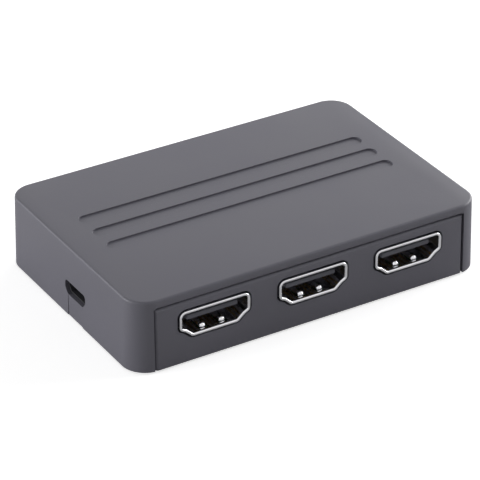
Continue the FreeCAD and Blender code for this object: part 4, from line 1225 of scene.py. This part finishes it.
@dataclass
class CoverShell:
    """Moulded cover: top, walls, corner columns, and the bosses under its top."""

    length: float = mm(77.4)
    width: float = mm(51.6)
    corner_radius: float = mm(5.0)
    corner_segments: int = 18
    top_radius: float = mm(0.5)
    draft: float = mm(DRAFT_MM)
    wall: float = mm(1.9)
    roof: float = mm(1.5)
    column: float = mm(4.3)
    band: float = mm(1.9)
    rebate_reach: float = mm(1.25)
    rebate_y: float = mm(24.95)
    window_inside: float = mm(1.0)
    groove_count: int = 3
    groove_length: float = mm(64.0)
    groove_width: float = mm(3.0)
    groove_pitch: float = mm(5.6)
    groove_depth: float = mm(0.35)
    groove_y: float = mm(1.8)
    # Rounding a groove's whole half width would merge the two corners of its end.
    groove_rounding: float = 0.9995
    groove_segments: int = 10
    boss_radius: float = mm(2.6)
    pilot_radius: float = mm(1.13)
    pilot_extra: float = mm(1.2)
    screw_head_radius: float = mm(2.0)
    web: float = mm(1.0)
    plug_gap: float = mm(0.2)
    slot_width: float = mm(5.7)
    slot_reach: float = mm(0.5)
    window_rounding: float = mm(0.6)
    window_segments: int = 4
    # Share of the wall that bosses and webs stay clear of the outside.
    joint_share: float = 0.75
    edge: float = mm(0.15)
    edge_segments: int = 3
    low: Vector = field(default_factory=lambda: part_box("top_cover")[0])
    high: Vector = field(default_factory=lambda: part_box("top_cover")[1])

    def outside(self) -> BMesh:
        """Rounded block with leaning walls and a rounded top edge.

        Returns:
            A new bmesh.
        """
        half = Vector((self.length / 2, self.width / 2))
        bm = block((-half.x, -half.y, self.low.z), (half.x, half.y, self.high.z))
        round_uprights(bm, self.corner_radius, self.corner_segments)
        draw_in_top(bm, self.corner_radius, self.draft)
        rim = [edge for edge in bm.edges if len(level(2, self.high.z, edge.verts)) == 2]
        round_edges(bm, rim, self.top_radius)
        return bm

    def hollow(self) -> BMesh:
        """Space inside the walls.

        Returns:
            A cutter.
        """
        half = Vector((self.length / 2 - self.wall, self.width / 2 - self.wall))
        foot = self.low.z - self.wall
        bm = block((-half.x, -half.y, foot), (half.x, half.y, self.high.z - self.roof))
        round_uprights(bm, self.corner_radius - self.wall, self.corner_segments)
        return bm

    def windows(self) -> list[BMesh]:
        """Openings for the panels, with the rebates for their lips.

        Returns:
            Two cutters for each long side.
        """
        half = self.length / 2 - self.column
        foot = self.low.z - self.wall
        top = self.high.z - self.band
        inner = self.width / 2 - self.wall - self.window_inside
        shapes = []
        for side in (-1, 1):
            for reach, depth in ((half, self.width), (half + self.rebate_reach, self.rebate_y)):
                near, far = sorted((side * inner, side * depth))
                shapes.append(block((-reach, near, foot), (reach, far, top)))
        return shapes

    def window_edges(self, bm: BMesh) -> list[BMEdge]:
        """Outer edges of the panels' openings.

        Args:
            bm: the cover.

        Returns:
            The edges.
        """
        side = self.length / 2 - self.column
        top = self.high.z - self.band
        face = self.width / 2 - self.draft
        found = []
        for edge in bm.edges:
            places = [vert.co for vert in edge.verts]
            if any(abs(place.y) < face or place.z > top + NEAR for place in places):
                continue
            if all(abs(abs(place.x) - side) < NEAR for place in places):
                found.append(edge)
            elif all(abs(place.z - top) < NEAR and abs(place.x) < side + NEAR for place in places):
                found.append(edge)
        return found

    def grooves(self) -> list[BMesh]:
        """Round-ended grooves along the top.

        Returns:
            A cutter for each groove.
        """
        shapes = []
        for index in range(self.groove_count):
            y = self.groove_y + (index - (self.groove_count - 1) / 2) * self.groove_pitch
            half = Vector((self.groove_length / 2, self.groove_width / 2))
            bm = block(
                (-half.x, y - half.y, self.high.z - self.groove_depth),
                (half.x, y + half.y, self.high.z + self.roof),
            )
            round_uprights(bm, half.y * self.groove_rounding, self.groove_segments)
            shapes.append(bm)
        return shapes

    def power_opening(self) -> list[BMesh]:
        """Plug opening in the left wall and the slot below it.

        Returns:
            Two cutters.
        """
        place = POWER.mouth().place
        half = self.slot_width / 2
        slot = block(
            (-self.length / 2 - self.wall, place.y - half, self.low.z - self.wall),
            (-self.length / 2 + self.wall + self.slot_reach, place.y + half, place.z),
        )
        return [POWER.window(self.plug_gap, -2 * self.wall, self.wall), slot]

    def screw_places(self) -> list[tuple[float, float]]:
        """Places of the four case screws.

        Returns:
            x and y of each.
        """
        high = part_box("case_screws")[1]
        x = high.x - self.screw_head_radius
        y = high.y - self.screw_head_radius
        return [(side * x, end * y) for side in (-1, 1) for end in (-1, 1)]

    def bosses(self) -> list[BMesh]:
        """Screw bosses with their webs to the side walls.

        Returns:
            A post and a web for each screw.
        """
        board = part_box("circuit_board")[1].z
        top = self.high.z - self.joint_share * self.roof
        wall = self.length / 2 - self.joint_share * self.wall
        shapes = []
        for x, y in self.screw_places():
            shapes.append(post(self.boss_radius, (x, y, board), top - board))
            near, far = sorted((x, math.copysign(wall, x)))
            shapes.append(block(
                (near, y - self.web / 2, board + self.web), (far, y + self.web / 2, top)
            ))
        return shapes

    def pilots(self) -> list[BMesh]:
        """Pilot holes in the bosses.

        Returns:
            A cutter for each screw.
        """
        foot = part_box("circuit_board")[1].z - self.web
        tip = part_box("case_screws")[1].z + self.pilot_extra
        return [post(self.pilot_radius, (x, y, foot), tip - foot) for x, y in self.screw_places()]

    def build(self) -> None:
        """Model the cover and dress it."""
        piece = make_object("cover_shell", self.outside())
        combine(piece, [self.hollow()] + self.windows() + self.power_opening() + self.grooves())
        combine(piece, self.bosses(), "UNION")
        combine(piece, self.pilots())
        with editing(piece) as bm:
            simplify(bm, cuts=[0.0])
            edges = self.window_edges(bm)
            round_edges(bm, edges, self.window_rounding, self.window_segments)
        finish_piece(piece, CASE_ABS, ["top_cover"], self.edge, segments=self.edge_segments)


@dataclass
class InsetPanel:
    """Inset panel of a long side, with its lips, its heel and its openings.

    It grows at its ends and top beyond the CAD node, so that its seams look as fine as real
    ones, and leans as the case's walls do.
    """

    name: str
    node: str
    side: int
    sockets: list[Socket]
    round_holes: list[tuple[float, float, float]] = field(default_factory=list)
    half_length: float = mm(34.15)
    growth: float = mm(0.1)
    lean: float = mm(DRAFT_MM * PANEL_HEIGHT_MM / CASE_HEIGHT_MM)
    thickness: float = mm(1.8)
    lip: float = mm(0.8)
    heel_half: float = mm(27.0)
    heel_reach: float = mm(0.9)
    heel_low: float = mm(2.0)
    heel_high: float = mm(3.0)
    port_gap: float = mm(0.45)
    rim_rounding: float = mm(0.7)
    edge: float = mm(0.15)

    def plate(self, face: float, back: float) -> BMesh:
        """Leaning plate with a lip at each end, and its front edges rounded.

        Args:
            face: y of its front at the foot.
            back: y of its back.

        Returns:
            A new bmesh.
        """
        low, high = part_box(self.node)
        step = back + self.side * self.lip
        end = self.half_length + self.growth
        outline = [(high.x, back), (high.x, step), (end, step), (end, face)]
        outline += [(-x, y) for x, y in reversed(outline)]
        bm = bmesh.new()
        bm.faces.new([bm.verts.new((x, y, low.z)) for x, y in outline])
        top = high.z + self.growth
        extrude_all(bm, Vector((0, 0, top - low.z)))
        front = level(1, face, bm.verts)
        rim = [
            edge for edge in bm.edges
            if all(vert in front for vert in edge.verts)
            and max(vert.co.z for vert in edge.verts) > top - NEAR
        ]
        top_edge = level(2, top, front)
        bmesh.ops.translate(bm, vec=(0, -self.side * self.lean, 0), verts=top_edge)
        round_edges(bm, rim, self.rim_rounding)
        return bm

    def build(self) -> None:
        """Model the panel and dress it."""
        low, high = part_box(self.node)
        face = low.y if self.side < 0 else high.y
        back = face - self.side * self.thickness
        piece = make_object(self.name, self.plate(face, back))
        near, far = sorted((back, back - self.side * self.heel_reach))
        heel = block((-self.heel_half, near, self.heel_low), (self.heel_half, far, self.heel_high))
        combine(piece, [heel], "UNION")
        reach = 2 * self.thickness
        cuts = [socket.window(self.port_gap, -reach, reach) for socket in self.sockets]
        for radius, x, z in self.round_holes:
            cuts.append(rod(radius, (x, back - self.thickness, z), 3 * self.thickness))
        combine(piece, cuts)
        middles = [socket.mouth().place.x for socket in self.sockets]
        middles += [x for radius, x, z in self.round_holes]
        with editing(piece) as bm:
            simplify(bm, cuts=middles + [-self.heel_half, self.heel_half])
        finish_piece(piece, CASE_ABS, [self.node], self.edge)


# Tongues, tray, jack, button, lamps and feet

# Contacts of a video socket, each in a hole of its tongue.
CONTACT_ROWS = 19


@dataclass
class SoftenedNode:
    """A CAD node whose shape is right, copied with its edges softened.

    Its faces stay divided at a few places along X, set about its middle, where it has
    rows of holes.
    """

    name: str
    node: str
    edge: float
    cut_count: int = 0
    cut_pitch: float = mm(0.5)

    def build(self) -> None:
        """Copy the node's mesh, merge it, and dress it in the finish of its slot."""
        slots = {entry["node"]: entry["material_slot"] for entry in frame["record"]["subparts"]}
        bm = bmesh.new()
        bm.from_mesh(frame["nodes"][self.node].data)
        first = middle_of(self.node).x - (self.cut_count - 1) / 2 * self.cut_pitch
        simplify(bm, cuts=[first + index * self.cut_pitch for index in range(self.cut_count)])
        piece = make_object(self.name, bm, turn_out=False)
        finish_piece(piece, FINISHES[slots[self.node]], [self.node], self.edge)


# The tongues take the pale insulator finish of their slot: painted light in the shade of the
# mouths.
SOFTENED_NODES = [
    SoftenedNode(f"input_{number}_tongue", f"video_in_{number}_insulator", mm(0.06), CONTACT_ROWS)
    for number in INPUT_NUMBERS
] + [
    SoftenedNode("output_tongue", "video_out_insulator", mm(0.06), CONTACT_ROWS),
    SoftenedNode("power_tongue", "power_socket_insulator", mm(0.04)),
    SoftenedNode("tray", "base_tray", mm(0.12)),
    SoftenedNode("jack", "jack_body", mm(0.12)),
]


@dataclass
class ButtonCap:
    """Round button cap with a shallow finger dish, its flange and its socket."""

    radius: float = mm(2.9)
    flange_radius: float = mm(3.6)
    flange: float = mm(0.8)
    socket_radius: float = mm(1.73)
    socket_depth: float = mm(1.0)
    dish_radius: float = mm(2.3)
    dish_depth: float = mm(0.2)
    crown: float = mm(0.3)
    edge: float = mm(0.06)
    arc_steps: int = 6
    turn_steps: int = 64

    def build(self) -> None:
        """Turn the cap's profile about its axis and dress it."""
        low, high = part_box("select_button")
        sphere = (self.dish_radius ** 2 + self.dish_depth ** 2) / (2 * self.dish_depth)
        spread = math.degrees(math.asin(self.dish_radius / sphere))
        middle = (0.0, high.y + sphere - self.dish_depth)
        dish = arc(middle, sphere, -90, -90 + spread, self.arc_steps)
        corner = (self.radius - self.crown, high.y - self.crown)
        crown = arc(corner, self.crown, 90, 0, self.arc_steps)
        profile = dish + crown + [
            (self.radius, low.y + self.flange),
            (self.flange_radius, low.y + self.flange),
            (self.flange_radius, low.y),
            (self.socket_radius, low.y),
            (self.socket_radius, low.y + self.socket_depth),
            (0.0, low.y + self.socket_depth),
        ]
        shape = turned(profile, middle_of("select_button"), self.turn_steps)
        piece = make_object("button_cap", shape)
        finish_piece(piece, BUTTON_ABS, ["select_button"], self.edge, Body.BUTTON)


@dataclass
class Lamp:
    """Cast lamp: flange, barrel and domed tip, turned as one piece."""

    number: int
    radius: float = mm(1.5)
    flange_radius: float = mm(1.9)
    flange: float = mm(1.0)
    edge: float = mm(0.08)
    arc_steps: int = 10
    turn_steps: int = 40

    def build(self) -> None:
        """Turn the lamp's profile about its axis and dress it."""
        node = f"lamp_{self.number}"
        low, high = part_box(node)
        profile = [
            (0.0, low.y),
            (self.flange_radius, low.y),
            (self.flange_radius, low.y + self.flange),
            (self.radius, low.y + self.flange),
        ] + arc((0.0, high.y - self.radius), self.radius, 0, 90, self.arc_steps)
        shape = turned(profile, middle_of(node), self.turn_steps)
        piece = make_object(f"lamp_lens_{self.number}", shape)
        finish_piece(piece, LAMP_EPOXY, [node], self.edge)


@dataclass
class FootPad:
    """Round rubber foot with a rounded lower edge and a shallow hollow beneath."""

    number: int
    radius: float = mm(4.0)
    rounding: float = mm(0.15)
    hollow_radius: float = mm(2.6)
    hollow_depth: float = mm(0.12)
    edge: float = mm(0.05)
    arc_steps: int = 4
    turn_steps: int = 64

    def build(self) -> None:
        """Turn the foot's profile about its axis and dress it."""
        node = f"foot_{self.number}"
        low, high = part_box(node)
        corner = (self.radius - self.rounding, low.z + self.rounding)
        rim = arc(corner, self.rounding, 0, -90, self.arc_steps)
        profile = [(0.0, high.z), (self.radius, high.z)] + rim + [
            (self.hollow_radius, low.z),
            (self.hollow_radius - self.hollow_depth, low.z + self.hollow_depth),
            (0.0, low.z + self.hollow_depth),
        ]
        shape = turned(profile, middle_of(node), self.turn_steps, upright=True)
        piece = make_object(f"pad_{self.number}", shape)
        finish_piece(piece, FOOT_RUBBER, [node], self.edge)


class CarriedNodes:
    """CAD nodes that keep their own mesh and get their finish."""

    def build(self) -> None:
        """Give each node the finish of its material slot."""
        for entry in frame["record"]["subparts"]:
            mesh = frame["nodes"][entry["node"]].data
            mesh.materials.clear()
            mesh.materials.append(FINISHES[entry["material_slot"]].build())


# Studio

WHITE = "#ffffff"


@dataclass(frozen=True)
class SoftLamp:
    """Rectangular lamp: its place and size in metres, and its power in watts."""

    name: str
    place: tuple[float, float, float]
    size: tuple[float, float]
    power: float

    def build(self, aim: Vector) -> None:
        """Add the lamp to the scene.

        Args:
            aim: the place that it looks at.
        """
        data = bpy.data.lights.new(self.name, "AREA")
        data.shape = "RECTANGLE"
        data.size, data.size_y = self.size
        data.energy = self.power
        lamp = bpy.data.objects.new(self.name, data)
        turn = (aim - Vector(self.place)).to_track_quat("-Z", "Y").to_matrix().to_4x4()
        lamp.matrix_world = Matrix.Translation(self.place) @ turn
        bpy.context.scene.collection.objects.link(lamp)


STUDIO_LAMPS = (
    SoftLamp("right_light", (1.034, 0.0, 0.38), (1.0, 0.6), 12.3),
    SoftLamp("right_back_light", (0.847, 0.593, 0.376), (0.6, 0.5), 2.1),
    SoftLamp("left_back_light", (-0.94, 0.58, 0.2), (1.4, 0.4), 5.2),
    SoftLamp("left_light", (-1.03, 0.37, 0.22), (0.6, 0.44), 5.2),
)


@dataclass
class Studio:
    """Pale floor, soft lamps, and the camera at the photograph's viewing angle.

    focal_px is the focal length in pixels of the photograph, which is frame_px wide.
    floor_glow is what the camera alone sees on top of the floor's own light, so that the floor
    looks white, and world_level is how strongly the surroundings light the object.
    """

    azimuth: float = math.radians(-31.066)
    elevation: float = math.radians(30.353)
    roll: float = math.radians(-0.032)
    camera_place: tuple[float, float, float] = (mm(-246.784), mm(-408.468), mm(284.709))
    focal_px: float = 2829.35
    frame_px: float = 480.0
    sensor: float = 36.0
    clip: tuple[float, float] = (mm(10), 20.0)
    aim_height: float = 0.01
    floor_half: float = 4.0
    floor_colour: str = "#ececec"
    floor_glow: float = 0.65
    world_level: float = 0.26

    def camera(self) -> None:
        """Create the camera and make it the scene's."""
        back = Vector((
            math.sin(self.azimuth) * math.cos(self.elevation),
            -math.cos(self.azimuth) * math.cos(self.elevation),
            math.sin(self.elevation),
        ))
        right = (-back).cross(Vector((0, 0, 1))).normalized()
        up = right.cross(-back)
        turned_right = right * math.cos(self.roll) + up * math.sin(self.roll)
        turned_up = up * math.cos(self.roll) - right * math.sin(self.roll)
        data = bpy.data.cameras.new("camera")
        data.sensor_width = self.sensor
        data.lens = self.focal_px / self.frame_px * self.sensor
        data.clip_start, data.clip_end = self.clip
        camera = bpy.data.objects.new("camera", data)
        turn = Matrix((turned_right, turned_up, back)).transposed().to_4x4()
        camera.matrix_world = Matrix.Translation(self.camera_place) @ turn
        bpy.context.scene.collection.objects.link(camera)
        bpy.context.scene.camera = camera

    def seen(self, tree: NodeTree, rays: Sequence[str]) -> NodeSocket:
        """Whether a ray is one of some kinds.

        Args:
            tree: node tree that gets the nodes.
            rays: outputs of the Light Path node.

        Returns:
            1 for a ray of one of these kinds, or 0.
        """
        path = add_node(tree, "ShaderNodeLightPath")
        found = path.outputs[rays[0]]
        for ray in rays[1:]:
            found = add_node(
                tree, "ShaderNodeMath", {"operation": "MAXIMUM"}, {0: found, 1: path.outputs[ray]}
            ).outputs["Value"]
        return found

    def surface(
        self,
        tree: NodeTree,
        output: str,
        rays: Sequence[str],
        shaders: tuple[NodeSocket, NodeSocket],
    ) -> None:
        """Feed an output with one shader, and with another for some kinds of ray.

        Args:
            tree: node tree that gets the nodes.
            output: class name of the output node.
            rays: outputs of the Light Path node that see the second shader.
            shaders: the two shaders.
        """
        sources = {0: self.seen(tree, rays), 1: shaders[0], 2: shaders[1]}
        mix = add_node(tree, "ShaderNodeMixShader", None, sources)
        add_node(tree, output, None, {"Surface": mix.outputs["Shader"]})

    def floor(self) -> None:
        """Add the pale floor, which looks white and keeps the object's shadow."""
        bm = bmesh.new()
        bmesh.ops.create_grid(bm, x_segments=1, y_segments=1, size=self.floor_half)
        floor = make_object("floor", bm)
        material = bpy.data.materials.new("painted_floor_white")
        material.use_nodes = True
        tree = material.node_tree
        tree.nodes.clear()
        colour = {"Color": linear(self.floor_colour)}
        paint = add_node(tree, "ShaderNodeBsdfDiffuse", colour).outputs["BSDF"]
        light = {"Color": linear(WHITE), "Strength": self.floor_glow}
        glow = add_node(tree, "ShaderNodeEmission", light).outputs["Emission"]
        lit = add_node(tree, "ShaderNodeAddShader", None, {0: paint, 1: glow}).outputs["Shader"]
        self.surface(tree, "ShaderNodeOutputMaterial", ("Is Camera Ray",), (paint, lit))
        floor.data.materials.append(material)

    def world(self) -> None:
        """Plain pale surroundings, white where they are seen or mirrored."""
        world = bpy.data.worlds.new("studio")
        bpy.context.scene.world = world
        world.use_nodes = True
        tree = world.node_tree
        tree.nodes.clear()
        shaders = []
        for strength in (self.world_level, 1.0):
            light = {"Color": linear(WHITE), "Strength": strength}
            shaders.append(add_node(tree, "ShaderNodeBackground", light).outputs["Background"])
        rays = ("Is Camera Ray", "Is Glossy Ray", "Is Transmission Ray")
        self.surface(tree, "ShaderNodeOutputWorld", rays, tuple(shaders))

    def build(self) -> None:
        """Set up the camera, the lamps, the floor and the surroundings."""
        bpy.context.scene.view_settings.view_transform = "Standard"
        self.camera()
        self.floor()
        self.world()
        for lamp in STUDIO_LAMPS:
            lamp.build(Vector((0.0, 0.0, self.aim_height)))


# Radius of the piece in each round hole of the rear panel, and the gap round it.
REAR_HOLES_MM = {"select_button": (2.9, 0.15), "jack_body": (2.6, 0.12)}
REAR_HOLES_MM.update({f"lamp_{number}": (1.5, 0.12) for number in LAMP_NUMBERS})


def rear_holes() -> list[tuple[float, float, float]]:
    """Round holes of the rear panel, each about its node's middle.

    Returns:
        Radius, x and z of each hole.
    """
    holes = []
    for node, (radius, gap) in REAR_HOLES_MM.items():
        middle = middle_of(node)
        holes.append((mm(radius + gap), middle.x, middle.z))
    return holes


def main() -> None:
    """Build every sub-assembly in order."""
    logging.basicConfig(level=logging.INFO, format="%(message)s")
    Studio().build()
    CarriedNodes().build()
    CoverShell().build()
    InsetPanel("input_panel", "front_panel", -1, INPUTS).build()
    InsetPanel("control_panel", "rear_panel", 1, [OUTPUT], rear_holes()).build()
    for socket in INPUTS + [OUTPUT, POWER]:
        socket.build()
    for node in SOFTENED_NODES:
        node.build()
    ButtonCap().build()
    for number in LAMP_NUMBERS:
        Lamp(number).build()
    for number in FOOT_NUMBERS:
        FootPad(number).build()


if __name__ == "__main__":
    main()
